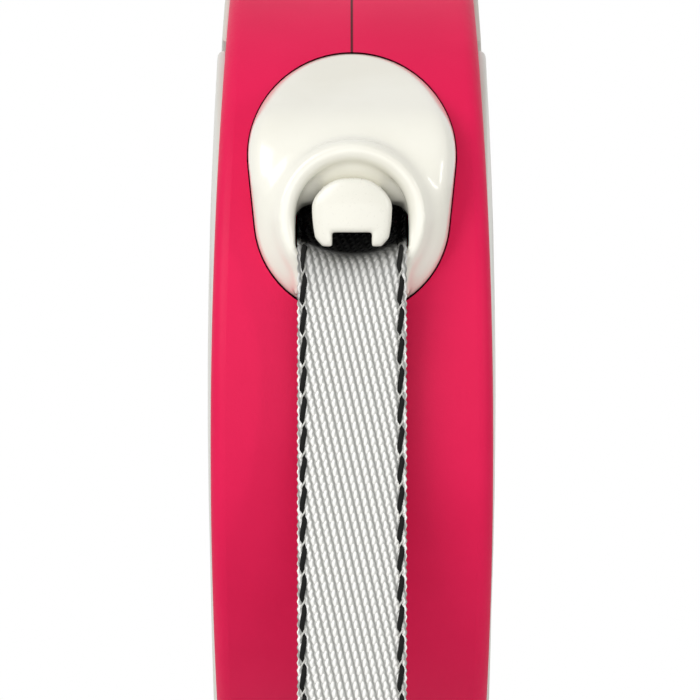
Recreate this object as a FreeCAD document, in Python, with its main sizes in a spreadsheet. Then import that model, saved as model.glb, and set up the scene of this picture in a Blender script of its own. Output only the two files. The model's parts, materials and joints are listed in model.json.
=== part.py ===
"""Retractable leash with a flat tape.

The leash is held in the hand by its handle loop, and its tape hangs from the nozzle.
X runs across the leash, the nozzle faces -Y and +Z is up. The part's origin is the
middle of the grip. Most sketches measure from the reel's axis, which lies along X.
"""
import FreeCAD, Part
import math
import os
import Sketcher

doc = FreeCAD.newDocument("retractable_leash")

# ---------------------------------------------------------------- driving sizes, mm
DRIVING_SIZES = {
    # where the grip lies from the reel's axis
    "grip_behind_reel": 106.5,
    "grip_above_reel": 3.0,
    # side outline of the housing: three discs joined by tangents
    "front_radius": 58.0,
    "front_y": 3.0,
    "front_z": 1.0,
    "upper_radius": 45.0,
    "upper_y": 60.0,
    "upper_z": 16.0,
    "lower_radius": 45.0,
    "lower_y": 72.0,
    "lower_z": -10.0,
    "grip_depth": 21.0,
    "drum_wall_radius": 52.0,
    "opening_corner": 5.0,
    # width of the shell and the crown of its sides
    "half_width": 19.3,
    "crown_radius": 800.0,
    "crown_z": -8.0,
    "rim_round": 2.0,
    "shell_wall": 2.0,
    # round side covers and handle panels
    "cover_radius": 47.5,
    "cover_seat": 17.6,
    "cover_proud": 0.75,
    "cover_round": 0.9,
    "panel_inset": 3.0,
    "panel_seat": 16.6,
    "panel_proud": 0.9,
    "panel_from_reel": 50.5,
    "panel_round": 0.6,
    "seat_gap": 0.1,
    # screws that hold the two shells together
    "screw_radius": 1.4,
    "screw_head_radius": 2.6,
    "screw_head_height": 2.0,
    "screw_tip": 12.0,
    "screw_seat": 12.5,
    "boss_radius": 4.0,
    "screw_gap": 0.05,
    # tape
    "tape_width": 15.0,
    "tape_thickness": 0.8,
    "tape_side_gap": 0.5,
    "winding_radius": 39.0,
    # nozzle
    "nozzle_upper_radius": 14.2,
    "nozzle_lower_radius": 13.3,
    "nozzle_upper_z": 32.4,
    "nozzle_lower_z": 23.8,
    "nozzle_gap": 0.2,
    "nozzle_front": 56.4,
    "nozzle_back": 30.5,
    "visor_top_y": 30.0,
    "visor_low_z": 28.0,
    "visor_radius": 12.0,
    "visor_slope": 25.0,
    "nozzle_round": 3.5,
    "ring_radius": 10.8,
    "ring_front": 58.1,
    "ring_z": 23.8,
    "ring_round": 1.3,
    "slot_half_width": 7.9,
    "slot_top": 25.6,
    "slot_corner": 2.5,
    "mouth_radius": 8.9,
    "funnel_floor_radius": 7.1,
    "funnel_depth": 5.6,
    "funnel_margin": 0.2,
    "lip_radius": 2.0,
    "lip_y": -56.1,
    "lip_z": 15.35,
    "throat_floor": 15.0,
    "tunnel_half_width": 8.6,
    "tunnel_top": 38.0,
    "tunnel_depth": 17.5,
    # guide knob in the throat
    "knob_half_width": 5.45,
    "knob_top_z": 29.2,
    "knob_corner": 3.9,
    "knob_leg_z": 19.9,
    "knob_notch_half": 2.9,
    "knob_notch_z": 21.8,
    "knob_front": 60.6,
    "knob_plate": 2.2,
    "knob_round": 0.6,
    "stem_half_width": 4.0,
    "knob_leg_taper": 0.85,
    "knob_leg_width": 1.5,
    "knob_leg_bevel": 1.1,
    "stem_low_z": 26.0,
    "stem_top_z": 28.6,
    # spool
    "flange_radius": 43.0,
    "flange_thickness": 1.5,
    "reel_gap": 1.0,
    "drum_radius": 17.0,
    "drum_wall": 2.5,
    "tooth_count": 24.0,
    "tooth_depth": 2.4,
    "tooth_angle": 78.5,
    "tooth_share": 0.93,
    "rim_depth": 6.0,
    "end_float": 0.4,
    "end_play": 0.12,
    "ratchet_thickness": 4.0,
    "axle_radius": 4.0,
    "hub_radius": 7.0,
    "running_gap": 0.06,
    "washer_thickness": 0.3,
    "washer_radius": 6.5,
    "chamber_half": 16.0,
    # openings and rooms of the shell
    "bay_front": -18.0,
    "bay_back": 23.5,
    "bay_low": 43.5,
    "bay_high": 52.8,
    "panel_front_y": 12.0,
    "shelf_top": 46.5,
    "shelf_height": 5.0,
    "shelf_width": 8.0,
    "spring_y": 28.5,
    # brake button and its lock
    "button_half_width": 10.5,
    "button_front": 14.0,
    "button_back": 42.0,
    "button_gap": 0.4,
    "lock_neck_half": 2.2,
    "lock_neck_front": 48.5,
    "lock_neck_back": 53.5,
    "lock_travel": 4.0,
    # pawl
    "pawl_pivot_y": -12.0,
    "pawl_pivot_rise": 6.0,
    "pin_radius": 1.5,
    "pin_half": 15.8,
    "pawl_width": 3.4,
    "pawl_hub_radius": 3.2,
    "pawl_tail_y": 19.0,
    "pawl_tail_rise": 2.5,
    "pawl_tail_radius": 2.0,
    "pawl_tip_y": 8.65,
    "pawl_tip_gap": 0.4,
    # button and lock, heights above the reel's axis
    "button_low": 55.5,
    "button_top": 65.0,
    "button_lip_z": 57.0,
    "button_lip_height": 1.2,
    "button_lip_reach": 2.3,
    "button_wall": 1.8,
    "button_hollow": 5.5,
    "button_bevel": 1.0,
    "plunger_gap": 0.15,
    "spring_x": 5.5,
    "spring_top": 55.5,
    "coil_radius": 2.6,
    "coil_wire": 0.6,
    "coil_turns": 5.0,
    "spring_end_gap": 0.05,
    "lock_low": 55.2,
    "lock_tongue": 1.2,
    "lock_tongue_reach": 2.4,
    "lock_front": 46.3,
    "lock_back": 56.5,
    "lock_base_top": 57.9,
    "lock_base_half": 5.0,
    "lock_knob_low": 61.3,
    "lock_knob_height": 2.0,
    "lock_knob_half": 6.0,
    "axle_half": 17.2,
    # stopper, loop and swivel ring at the tape's end
    "stopper_top": 0.5,
    "stopper_height": 14.0,
    "stopper_half_width": 10.0,
    "stopper_half_depth": 3.0,
    "stopper_round": 1.8,
    "stopper_edge": 0.7,
    "loop_gap": 0.35,
    "loop_thickness": 1.8,
    "loop_hole": 2.4,
    "bar_drop": 21.9,
    "bar_thickness": 3.2,
    "ring_length": 11.6,
    "ring_leg": 2.6,
    "ring_corner": 1.0,
    "ring_shoulder": 2.2,
    "collar_top": 31.0,
    "collar_height": 6.5,
    "collar_radius": 4.2,
    "stem_radius": 2.2,
    "head_radius": 3.3,
    "head_height": 1.5,
    "head_gap": 0.15,
    # snap hook
    "neck_radius": 4.4,
    "barrel_drop": 2.6,
    "barrel_radius": 3.6,
    "barrel_length": 16.0,
    "barrel_roof": 2.0,
    "bolt_x": 7.1,
    "bolt_radius": 1.9,
    "bolt_length": 13.0,
    "bolt_travel": 7.0,
    "bolt_seat": 0.5,
    "thumb_rise": 3.0,
    "thumb_radius": 1.1,
    "thumb_gap": 0.25,
    "thumb_head_radius": 2.4,
    "thumb_head_height": 1.6,
    "thumb_round": 0.6,
    "gate_gap": 8.0,
    "hook_x": -2.0,
    "hook_drop": 23.0,
    "hook_radius": 11.6,
    "hook_wall": 5.0,
    "hook_shoulder": 6.5,
    "hook_thickness": 5.2,
    "hook_round": 1.6,
    "eye_rise": 11.0,
    "eye_top_radius": 4.4,
    "hook_coil_wire": 0.5,
    # power spring and its case
    "spring_case_radius": 32.0,
    "spring_case_wall": 1.4,
    "spring_ribbon": 0.6,
    "spring_pitch": 2.4,
    "spring_gap": 0.3,
}

sizes = doc.addObject("Spreadsheet::Sheet", "sizes")
for row, (name, number) in enumerate(DRIVING_SIZES.items(), start=1):
    sizes.set("A%d" % row, name)
    sizes.set("B%d" % row, str(number))
    sizes.setAlias("B%d" % row, name)
doc.recompute()


class Size:
    """A length or ratio that knows both its value and its spreadsheet formula."""

    def __init__(self, value, formula):
        self.value = float(value)
        self.formula = formula

    def combine(self, other, sign, value):
        return Size(value, "(%s %s %s)" % (self.formula, sign, other.formula))

    def __add__(self, other):
        other = as_size(other)
        return self.combine(other, "+", self.value + other.value)

    def __sub__(self, other):
        other = as_size(other)
        return self.combine(other, "-", self.value - other.value)

    def __mul__(self, other):
        other = as_size(other)
        return self.combine(other, "*", self.value * other.value)

    def __truediv__(self, other):
        other = as_size(other)
        return self.combine(other, "/", self.value / other.value)

    def __rsub__(self, other):
        return as_size(other) - self

    def __rmul__(self, other):
        return as_size(other) * self

    def __radd__(self, other):
        return as_size(other) + self

    def __neg__(self):
        return Size(-self.value, "(0 - %s)" % self.formula)


def as_size(number):
    return number if isinstance(number, Size) else Size(number, repr(float(number)))


def size(name):
    return Size(sizes.get(name), "sizes." + name)


def cosine(degrees):
    return Size(math.cos(math.radians(degrees.value)), "cos(%s)" % degrees.formula)


def sine(degrees):
    return Size(math.sin(math.radians(degrees.value)), "sin(%s)" % degrees.formula)


def root(number):
    return Size(math.sqrt(number.value), "sqrt(%s)" % number.formula)


ZERO = as_size(0.0)
LEFT, RIGHT = -1, 1


# ---------------------------------------------------------------- modelling helpers
def bind(thing, name, length):
    thing.setExpression(name, as_size(length).formula)


def new_body(name, y=ZERO, z=ZERO):
    """A body whose own origin is y behind and z above the reel's axis."""
    body = doc.addObject("PartDesign::Body", name)
    body.Label = name
    bind(body, "Placement.Base.y", y - size("grip_behind_reel"))
    bind(body, "Placement.Base.z", z - size("grip_above_reel"))
    return body


def new_sketch(body, plane, name, lift=None):
    """A sketch on one of the body's origin planes, lifted along that plane's normal."""
    sketch = body.newObject("Sketcher::SketchObject", name)
    origin_plane = next(f for f in body.Origin.OriginFeatures if f.Role == plane)
    sketch.AttachmentSupport = [(origin_plane, "")]
    sketch.MapMode = "FlatFace"
    if lift is not None:
        bind(sketch, "AttachmentOffset.Base.z", lift)
    return sketch


def fix_point(sketch, edge, end, x, y):
    for kind, length in (("DistanceX", x), ("DistanceY", y)):
        length = as_size(length)
        number = sketch.addConstraint(Sketcher.Constraint(kind, -1, 1, edge, end, length.value))
        bind(sketch, "Constraints[%d]" % number, length)


def fix_radius(sketch, edge, radius):
    number = sketch.addConstraint(Sketcher.Constraint("Radius", edge, radius.value))
    bind(sketch, "Constraints[%d]" % number, radius)


def add_circle(sketch, x, y, radius):
    x, y, radius = as_size(x), as_size(y), as_size(radius)
    centre = FreeCAD.Vector(x.value, y.value, 0)
    edge = sketch.addGeometry(Part.Circle(centre, FreeCAD.Vector(0, 0, 1), radius.value), False)
    fix_point(sketch, edge, 3, x, y)
    fix_radius(sketch, edge, radius)


def add_outline(sketch, corners):
    """A closed outline. A corner is (x, y) or (x, y, radius): with a radius, an arc runs
    from it to the next corner, counterclockwise where the radius is above zero."""
    corners = [tuple(as_size(value) for value in corner) for corner in corners]
    first_edges = []
    for index, corner in enumerate(corners):
        following = corners[(index + 1) % len(corners)]
        start = FreeCAD.Vector(corner[0].value, corner[1].value, 0)
        end = FreeCAD.Vector(following[0].value, following[1].value, 0)
        if len(corner) == 2:
            edge = sketch.addGeometry(Part.LineSegment(start, end), False)
            first_edges.append((edge, 1, 2))
            continue
        radius = abs(corner[2].value)
        turn = 1 if corner[2].value > 0 else -1
        chord = end - start
        rise = math.sqrt(max(radius**2 - chord.Length**2 / 4, 0.0))
        across = FreeCAD.Vector(-chord.y, chord.x, 0).normalize()
        centre = (start + end) * 0.5 + across * (rise * turn)
        begin, finish = (start, end) if turn > 0 else (end, start)
        angles = [math.atan2(p.y - centre.y, p.x - centre.x) for p in (begin, finish)]
        if angles[1] < angles[0]:
            angles[1] += 2 * math.pi
        circle = Part.Circle(centre, FreeCAD.Vector(0, 0, 1), radius)
        edge = sketch.addGeometry(Part.ArcOfCircle(circle, angles[0], angles[1]), False)
        first_edges.append((edge, 1, 2) if turn > 0 else (edge, 2, 1))
    for index, (edge, start_end, _) in enumerate(first_edges):
        before, _, before_end = first_edges[index - 1]
        sketch.addConstraint(Sketcher.Constraint("Coincident", before, before_end, edge, start_end))
        corner = corners[index]
        fix_point(sketch, edge, start_end, corner[0], corner[1])
        if len(corner) == 3:
            radius = corner[2] if corner[2].value > 0 else -corner[2]
            fix_radius(sketch, edge, radius)


def add_hull(sketch, discs):
    """The outline of a belt round some discs (x, y, radius), listed counterclockwise."""
    discs = [tuple(as_size(value) for value in disc) for disc in discs]
    count = len(discs)
    tangents = []
    for index in range(count):
        x0, y0, r0 = (value.value for value in discs[index])
        x1, y1, r1 = (value.value for value in discs[(index + 1) % count])
        along = math.atan2(y1 - y0, x1 - x0)
        normal = along - math.acos((r0 - r1) / math.hypot(x1 - x0, y1 - y0))
        tangents.append(normal)
    arcs = []
    lines = []
    for index, (x, y, radius) in enumerate(discs):
        start, end = tangents[index - 1], tangents[index]
        while end < start:
            end += 2 * math.pi
        centre = FreeCAD.Vector(x.value, y.value, 0)
        circle = Part.Circle(centre, FreeCAD.Vector(0, 0, 1), radius.value)
        arcs.append(sketch.addGeometry(Part.ArcOfCircle(circle, start, end), False))
    for index in range(count):
        start = sketch.getPoint(arcs[index], 2)
        end = sketch.getPoint(arcs[(index + 1) % count], 1)
        lines.append(sketch.addGeometry(Part.LineSegment(start, end), False))
    for index in range(count):
        following = arcs[(index + 1) % count]
        sketch.addConstraint(Sketcher.Constraint("Tangent", arcs[index], 2, lines[index], 1))
        sketch.addConstraint(Sketcher.Constraint("Tangent", lines[index], 2, following, 1))
    for index, (x, y, radius) in enumerate(discs):
        fix_point(sketch, arcs[index], 3, x, y)
        fix_radius(sketch, arcs[index], radius)


def pad(body, sketch, length, reverse=False, middle=False):
    feature = body.newObject("PartDesign::Pad", sketch.Name + "_pad")
    feature.Profile = sketch
    feature.Reversed = reverse
    feature.Midplane = middle
    bind(feature, "Length", length)
    sketch.Visibility = False
    doc.recompute()
    return feature


def pocket(body, sketch, length=None, reverse=False, middle=False):
    """Cuts the sketch out against its normal, or along it where reverse is set. The
    volume is compared, because a cut that points away from the solid shows no error."""
    before = body.Shape.Volume
    feature = body.newObject("PartDesign::Pocket", sketch.Name + "_pocket")
    feature.Profile = sketch
    feature.Reversed = reverse
    feature.Midplane = middle
    if length is None:
        feature.Type = "ThroughAll"
    else:
        bind(feature, "Length", length)
    sketch.Visibility = False
    doc.recompute()
    if not body.Shape.Volume < before:
        raise RuntimeError("%s cuts nothing from %s" % (sketch.Name, body.Label))
    return feature


def cut_cone(body, front, back):
    """Cuts out what lies between two circles on parallel planes."""
    before = body.Shape.Volume
    feature = body.newObject("PartDesign::SubtractiveLoft", front.Name + "_cone")
    feature.Profile = front
    feature.Sections = [back]
    feature.Ruled = True
    front.Visibility = back.Visibility = False
    doc.recompute()
    if not body.Shape.Volume < before:
        raise RuntimeError("%s cuts nothing from %s" % (front.Name, body.Label))


def revolve(body, sketch, axis="H_Axis"):
    feature = body.newObject("PartDesign::Revolution", sketch.Name + "_revolution")
    feature.Profile = sketch
    feature.ReferenceAxis = (sketch, [axis])
    feature.Angle = 360
    sketch.Visibility = False
    doc.recompute()
    return feature


def chosen_edges(body, wanted):
    edges = body.Tip.Shape.Edges
    names = ["Edge%d" % (number + 1) for number, edge in enumerate(edges) if wanted(edge)]
    if not names:
        raise RuntimeError("no edge to work on %s" % body.Label)
    return (body.Tip, names)


def fillet(body, radius, wanted):
    """Rounds the edges of the body's last feature for which wanted(edge) is true."""
    base = chosen_edges(body, wanted)
    feature = body.newObject("PartDesign::Fillet", "%s_fillet_%d" % (body.Name, len(body.Group)))
    feature.Base = base
    bind(feature, "Radius", radius)
    doc.recompute()
    return feature


def chamfer(body, width, wanted):
    """Bevels the edges of the body's last feature for which wanted(edge) is true."""
    base = chosen_edges(body, wanted)
    feature = body.newObject("PartDesign::Chamfer", "%s_chamfer_%d" % (body.Name, len(body.Group)))
    feature.Base = base
    bind(feature, "Size", width)
    doc.recompute()
    return feature


def edge_middle(edge):
    return edge.valueAt((edge.FirstParameter + edge.LastParameter) / 2)


def runs_along_x(edge):
    box = edge.BoundBox
    return box.XLength > 0.5 and box.YLength < 1e-3 and box.ZLength < 1e-3


# ---------------------------------------------------------------- housing shells
def side_discs(inset=ZERO):
    """The three discs of the housing's side outline, shrunk by inset."""
    return [
        (size("front_y"), size("front_z"), size("front_radius") - inset),
        (size("lower_y"), size("lower_z"), size("lower_radius") - inset),
        (size("upper_y"), size("upper_z"), size("upper_radius") - inset),
    ]


def hand_discs(outset=ZERO):
    """The two discs of the hand opening, grown by outset."""
    reach = outset - size("grip_depth")
    return [
        (size("lower_y"), size("lower_z"), size("lower_radius") + reach),
        (size("upper_y"), size("upper_z"), size("upper_radius") + reach),
    ]


def cut_to_crown(body, half_width, side):
    """Trims a side to a wide arc about crown_z, so that it bulges a little."""
    reach, beyond = as_size(80.0), as_size(60.0 * side)
    radius, middle = size("crown_radius"), size("crown_z")
    above, below = reach - middle, reach + middle
    top = (half_width - radius + root(radius * radius - above * above)) * side
    low = (half_width - radius + root(radius * radius - below * below)) * side
    sketch = new_sketch(body, "XZ_Plane", body.Name + "_crown")
    add_outline(sketch, [(low, -reach, radius * side), (top, reach), (beyond, reach), (beyond, -reach)])
    pocket(body, sketch, middle=True)


def on_crown(edge, half_width):
    """True for an edge that lies on the crowned side of a shell or panel."""
    radius, place = size("crown_radius").value, edge_middle(edge)
    height = place.z - size("crown_z").value
    crown_x = half_width - radius + math.sqrt(radius**2 - height**2)
    return abs(abs(place.x) - crown_x) < 0.02


def add_box(sketch, low_x, low_y, high_x, high_y):
    add_outline(sketch, [(low_x, low_y), (high_x, low_y), (high_x, high_y), (low_x, high_y)])


SCREW_PLACES = {
    "front_low": (-33.0, -38.0),
    "middle_low": (20.0, -47.0),
    "front_high": (-25.5, 43.0),
    "grip_high": (93.5, 28.0),
    "grip_low": (84.5, -42.5),
}


def housing_half(name, side):
    """One moulded half shell, open at the centre seam, with the reel's round chamber,
    the hand opening, the nozzle's and the button's openings and the screw bosses."""
    body = new_body(name)
    inward = side > 0
    outer = size("half_width") + 1.0
    cavity = size("panel_seat") - size("shell_wall")
    wall = size("shell_wall")

    outline = new_sketch(body, "YZ_Plane", name + "_outline")
    add_hull(outline, side_discs())
    pad(body, outline, outer, reverse=side < 0)
    hollow = new_sketch(body, "YZ_Plane", name + "_cavity")
    add_hull(hollow, side_discs(wall))
    pocket(body, hollow, cavity, reverse=inward)

    opening_wall = new_sketch(body, "YZ_Plane", name + "_opening_wall")
    add_hull(opening_wall, hand_discs(wall))
    pad(body, opening_wall, outer, reverse=side < 0)
    opening = new_sketch(body, "YZ_Plane", name + "_hand_opening")
    add_hull(opening, hand_discs())
    pocket(body, opening, middle=True)

    drum = new_sketch(body, "YZ_Plane", name + "_drum")
    add_circle(drum, ZERO, ZERO, size("drum_wall_radius"))
    pad(body, drum, outer, reverse=side < 0)
    chamber = new_sketch(body, "YZ_Plane", name + "_chamber")
    add_circle(chamber, ZERO, ZERO, size("drum_wall_radius") - wall)
    pocket(body, chamber, size("chamber_half"), reverse=inward)

    def opening_tip(edge):
        place = edge_middle(edge)
        on_drum = abs(math.hypot(place.y, place.z) - size("drum_wall_radius").value) < 0.01
        return runs_along_x(edge) and on_drum and place.y > 30 and abs(place.z) > 5

    fillet(body, size("opening_corner"), opening_tip)

    bosses = new_sketch(body, "YZ_Plane", name + "_bosses")
    for y, z in SCREW_PLACES.values():
        add_circle(bosses, y, z, size("boss_radius"))
    pad(body, bosses, cavity + 0.5, reverse=side < 0)

    cut_to_crown(body, size("half_width"), side)

    fillet(body, size("rim_round"), lambda edge: on_crown(edge, size("half_width").value))

    cover = new_sketch(body, "YZ_Plane", name + "_cover_seat", size("cover_seat") * side)
    add_circle(cover, ZERO, ZERO, size("cover_radius") + size("seat_gap"))
    pocket(body, cover, reverse=inward)
    panel = new_sketch(body, "YZ_Plane", name + "_panel_seat", size("panel_seat") * side)
    add_panel(panel, size("seat_gap"))
    pocket(body, panel, reverse=inward)

    sockets = new_sketch(body, "YZ_Plane", name + "_axle_socket")
    add_circle(sockets, ZERO, ZERO, size("axle_radius") + size("running_gap"))
    pocket(body, sockets, size("axle_half"), reverse=inward)
    pin_hole = new_sketch(body, "YZ_Plane", name + "_pin_socket")
    add_circle(pin_hole, size("pawl_pivot_y"), pawl_pivot_z(), size("pin_radius") + size("running_gap"))
    pocket(body, pin_hole, size("pin_half"), reverse=inward)

    shank = new_sketch(body, "YZ_Plane", name + "_screw_holes")
    for y, z in SCREW_PLACES.values():
        add_circle(shank, y, z, size("screw_radius") + size("screw_gap"))
    if side > 0:
        pocket(body, shank, size("screw_tip") + 0.5, reverse=inward)
    else:
        pocket(body, shank, reverse=inward)
        heads = new_sketch(body, "YZ_Plane", name + "_screw_heads", size("screw_seat") * side)
        for y, z in SCREW_PLACES.values():
            add_circle(heads, y, z, size("screw_head_radius") + size("seat_gap"))
        pocket(body, heads, reverse=inward)

    brake_bay = new_sketch(body, "YZ_Plane", name + "_brake_bay")
    add_box(brake_bay, size("bay_front"), size("bay_low"), size("bay_back"), size("bay_high"))
    pocket(body, brake_bay, cavity, reverse=inward)

    nozzle_hole = new_sketch(body, "XZ_Plane", name + "_nozzle_hole", size("nozzle_back") - 2.0)
    add_nozzle_oval(nozzle_hole, size("nozzle_gap"))
    pocket(body, nozzle_hole, reverse=True)

    well = new_sketch(body, "XY_Plane", name + "_button_well", size("bay_high"))
    reach = size("button_half_width") + size("button_gap")
    well_front = size("button_front") - size("button_gap")
    well_back = size("button_back") + size("button_gap")
    add_box(well, -reach, well_front, reach, well_back)
    pocket(body, well, reverse=True)
    slot = new_sketch(body, "XY_Plane", name + "_lock_slot", size("bay_high"))
    reach = size("lock_neck_half") + size("button_gap")
    low = size("lock_neck_front") - size("lock_travel") - size("button_gap")
    add_box(slot, -reach, low, reach, size("lock_neck_back") + size("button_gap"))
    pocket(body, slot, reverse=True)

    if side < 0:
        shelf = new_sketch(body, "YZ_Plane", name + "_spring_shelf")
        shelf_top, half = size("shelf_top"), size("shelf_width") / 2.0
        shelf_low = shelf_top - size("shelf_height")
        add_box(shelf, size("spring_y") - half, shelf_low, size("spring_y") + half, shelf_top)
        pad(body, shelf, cavity + 0.5, reverse=True)
    return body


def add_panel(sketch, outset=ZERO):
    """The handle panel's ring: an outer belt with the hand opening as its island."""
    add_hull(sketch, side_discs(size("panel_inset") - outset))
    add_hull(sketch, hand_discs(size("panel_inset") - outset))


def add_nozzle_oval(sketch, outset=ZERO):
    """The nozzle's outline from the front: two discs joined by tangents."""
    add_hull(sketch, [
        (ZERO, size("nozzle_lower_z"), size("nozzle_lower_radius") + outset),
        (ZERO, size("nozzle_upper_z"), size("nozzle_upper_radius") + outset),
    ])


def pawl_pivot_z():
    return size("flange_radius") + size("pawl_pivot_rise")


# ---------------------------------------------------------------- covers and panels
def side_cover(name, side):
    """Round domed cover over the reel, seated in the shell."""
    body = new_body(name)
    radius, dome = size("cover_radius"), size("crown_radius")
    apex = size("half_width") + size("cover_proud")
    rim = apex - dome + root(dome * dome - radius * radius)
    seat = size("cover_seat") * side
    profile = new_sketch(body, "XZ_Plane", name + "_profile")
    add_outline(profile, [
        (seat, ZERO), (seat, radius), (rim * side, radius, dome * -side), (apex * side, ZERO),
    ])
    revolve(body, profile)
    edge_reach = rim.value

    def outer_rim(edge):
        return abs(abs(edge.BoundBox.Center.x) - edge_reach) < 0.01 and edge.BoundBox.ZLength > 20

    fillet(body, size("cover_round"), outer_rim)
    return body


def grip_panel(name, side):
    """Panel round the hand opening, from the top front over the grip to the bottom."""
    body = new_body(name)
    inward = side > 0
    seat = size("panel_seat") * side
    ring = new_sketch(body, "YZ_Plane", name + "_ring", seat)
    add_panel(ring)
    pad(body, ring, size("half_width") + 2.0 - size("panel_seat"), reverse=side < 0)
    reel = new_sketch(body, "YZ_Plane", name + "_reel_side", seat)
    add_circle(reel, ZERO, ZERO, size("panel_from_reel"))
    pocket(body, reel, reverse=inward)
    front = new_sketch(body, "YZ_Plane", name + "_front", seat)
    add_box(front, -80, -80, size("panel_front_y"), 80)
    pocket(body, front, reverse=inward)
    cut_to_crown(body, size("half_width") + size("panel_proud"), side)

    crown = (size("half_width") + size("panel_proud")).value
    fillet(body, size("panel_round"), lambda edge: on_crown(edge, crown))
    return body


# ---------------------------------------------------------------- nozzle and guide
def outlet_nozzle():
    """Domed nozzle: an oval boss cut to a visor, a raised funnel ring and a lower lip
    that the tape runs over."""
    name = "outlet_nozzle"
    body = new_body(name)
    front, back = size("nozzle_front"), size("nozzle_back")
    oval = new_sketch(body, "XZ_Plane", name + "_oval", back)
    add_nozzle_oval(oval)
    pad(body, oval, front - back)

    visor = new_sketch(body, "YZ_Plane", name + "_visor")
    beyond_y, beyond_z = as_size(-80.0), as_size(80.0)
    slope, radius = size("visor_slope"), size("visor_radius")
    bend_y = radius * (1.0 - sine(slope)) - front
    bend_z = size("visor_low_z") + radius * cosine(slope)
    top_y = -size("visor_top_y")
    add_outline(visor, [
        (top_y, bend_z + (top_y - bend_y) * sine(slope) / cosine(slope)),
        (bend_y, bend_z, radius),
        (-front, size("visor_low_z")),
        (beyond_y, size("visor_low_z")),
        (beyond_y, beyond_z),
        (top_y, beyond_z),
    ])
    pocket(body, visor, middle=True)

    room = new_sketch(body, "YZ_Plane", name + "_reel_room")
    add_circle(room, ZERO, ZERO, size("flange_radius") + size("reel_gap"))
    pocket(body, room, middle=True)

    def front_rim(edge):
        place = edge_middle(edge)
        on_front = abs(place.y + front.value) < 0.01
        on_visor = place.z > size("visor_low_z").value and place.y < -size("nozzle_back").value - 0.5
        along_y = edge.BoundBox.ZLength < 0.01
        return not runs_along_x(edge) and not along_y and (on_front or on_visor)

    fillet(body, size("nozzle_round"), front_rim)

    ring = new_sketch(body, "XZ_Plane", name + "_ring", front - 6.0)
    add_circle(ring, ZERO, size("ring_z"), size("ring_radius"))
    pad(body, ring, size("ring_front") - front + 6.0)
    crest = -size("ring_front").value

    def ring_edge(edge):
        return abs(edge.BoundBox.YMin - crest) < 0.01 and abs(edge.BoundBox.YMax - crest) < 0.01

    fillet(body, size("ring_round"), ring_edge)

    mouth = new_sketch(body, "XZ_Plane", name + "_mouth", size("ring_front") + size("funnel_margin"))
    add_circle(mouth, ZERO, size("ring_z"), size("mouth_radius"))
    floor = new_sketch(body, "XZ_Plane", name + "_funnel_floor", size("ring_front") - size("funnel_depth"))
    add_circle(floor, ZERO, size("ring_z"), size("funnel_floor_radius"))
    cut_cone(body, mouth, floor)
    slot = new_sketch(body, "XZ_Plane", name + "_slot", back - 1.0)
    side, corner = size("slot_half_width"), size("slot_corner")
    add_outline(slot, [
        (-side, size("throat_floor")),
        (side, size("throat_floor")),
        (side, size("slot_top") - corner, corner),
        (side - corner, size("slot_top")),
        (corner - side, size("slot_top"), corner),
        (-side, size("slot_top") - corner),
    ])
    pocket(body, slot, reverse=True)

    tunnel = new_sketch(body, "XZ_Plane", name + "_tunnel", back)
    reach = size("tunnel_half_width")
    add_box(tunnel, -reach, size("throat_floor"), reach, size("tunnel_top"))
    pocket(body, tunnel, size("tunnel_depth"), reverse=True)

    lip = new_sketch(body, "YZ_Plane", name + "_lip")
    add_hull(lip, [
        (size("lip_y"), size("lip_z"), size("lip_radius")),
        (size("lip_y") + 7.0, size("lip_z"), size("lip_radius")),
    ])
    pad(body, lip, side * 2.0, middle=True)
    return body


def tape_guide():
    """D-shaped knob with two short legs over the tape, on a stem from the tunnel's roof."""
    name = "tape_guide"
    body = new_body(name)
    half, corner, top = size("knob_half_width"), size("knob_corner"), size("knob_top_z")
    leg, notch = size("knob_leg_z"), size("knob_notch_half")
    taper, tip = size("knob_leg_taper"), size("knob_leg_width")
    bevel = leg + size("knob_leg_bevel")
    face = new_sketch(body, "XZ_Plane", name + "_face", size("knob_front") - size("knob_plate"))
    add_outline(face, [
        (half, top - corner, corner),
        (half - corner, top),
        (corner - half, top, corner),
        (-half, top - corner),
        (-half, bevel),
        (taper - half, leg),
        (taper + tip - half, leg),
        (-notch, bevel),
        (-notch, size("knob_notch_z")),
        (notch, size("knob_notch_z")),
        (notch, bevel),
        (half - taper - tip, leg),
        (half - taper, leg),
        (half, bevel),
    ])
    pad(body, face, size("knob_plate"))
    front = -size("knob_front").value

    def front_edge(edge):
        return abs(edge.BoundBox.YMin - front) < 0.01 and abs(edge.BoundBox.YMax - front) < 0.01

    fillet(body, size("knob_round"), front_edge)

    stem = new_sketch(body, "YZ_Plane", name + "_stem")
    start = size("knob_plate") - size("knob_front") - 0.2
    seat = size("funnel_depth") - size("ring_front")
    add_box(stem, start, size("stem_low_z"), seat, size("stem_top_z"))
    pad(body, stem, size("stem_half_width") * 2.0, middle=True)
    return body


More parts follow.
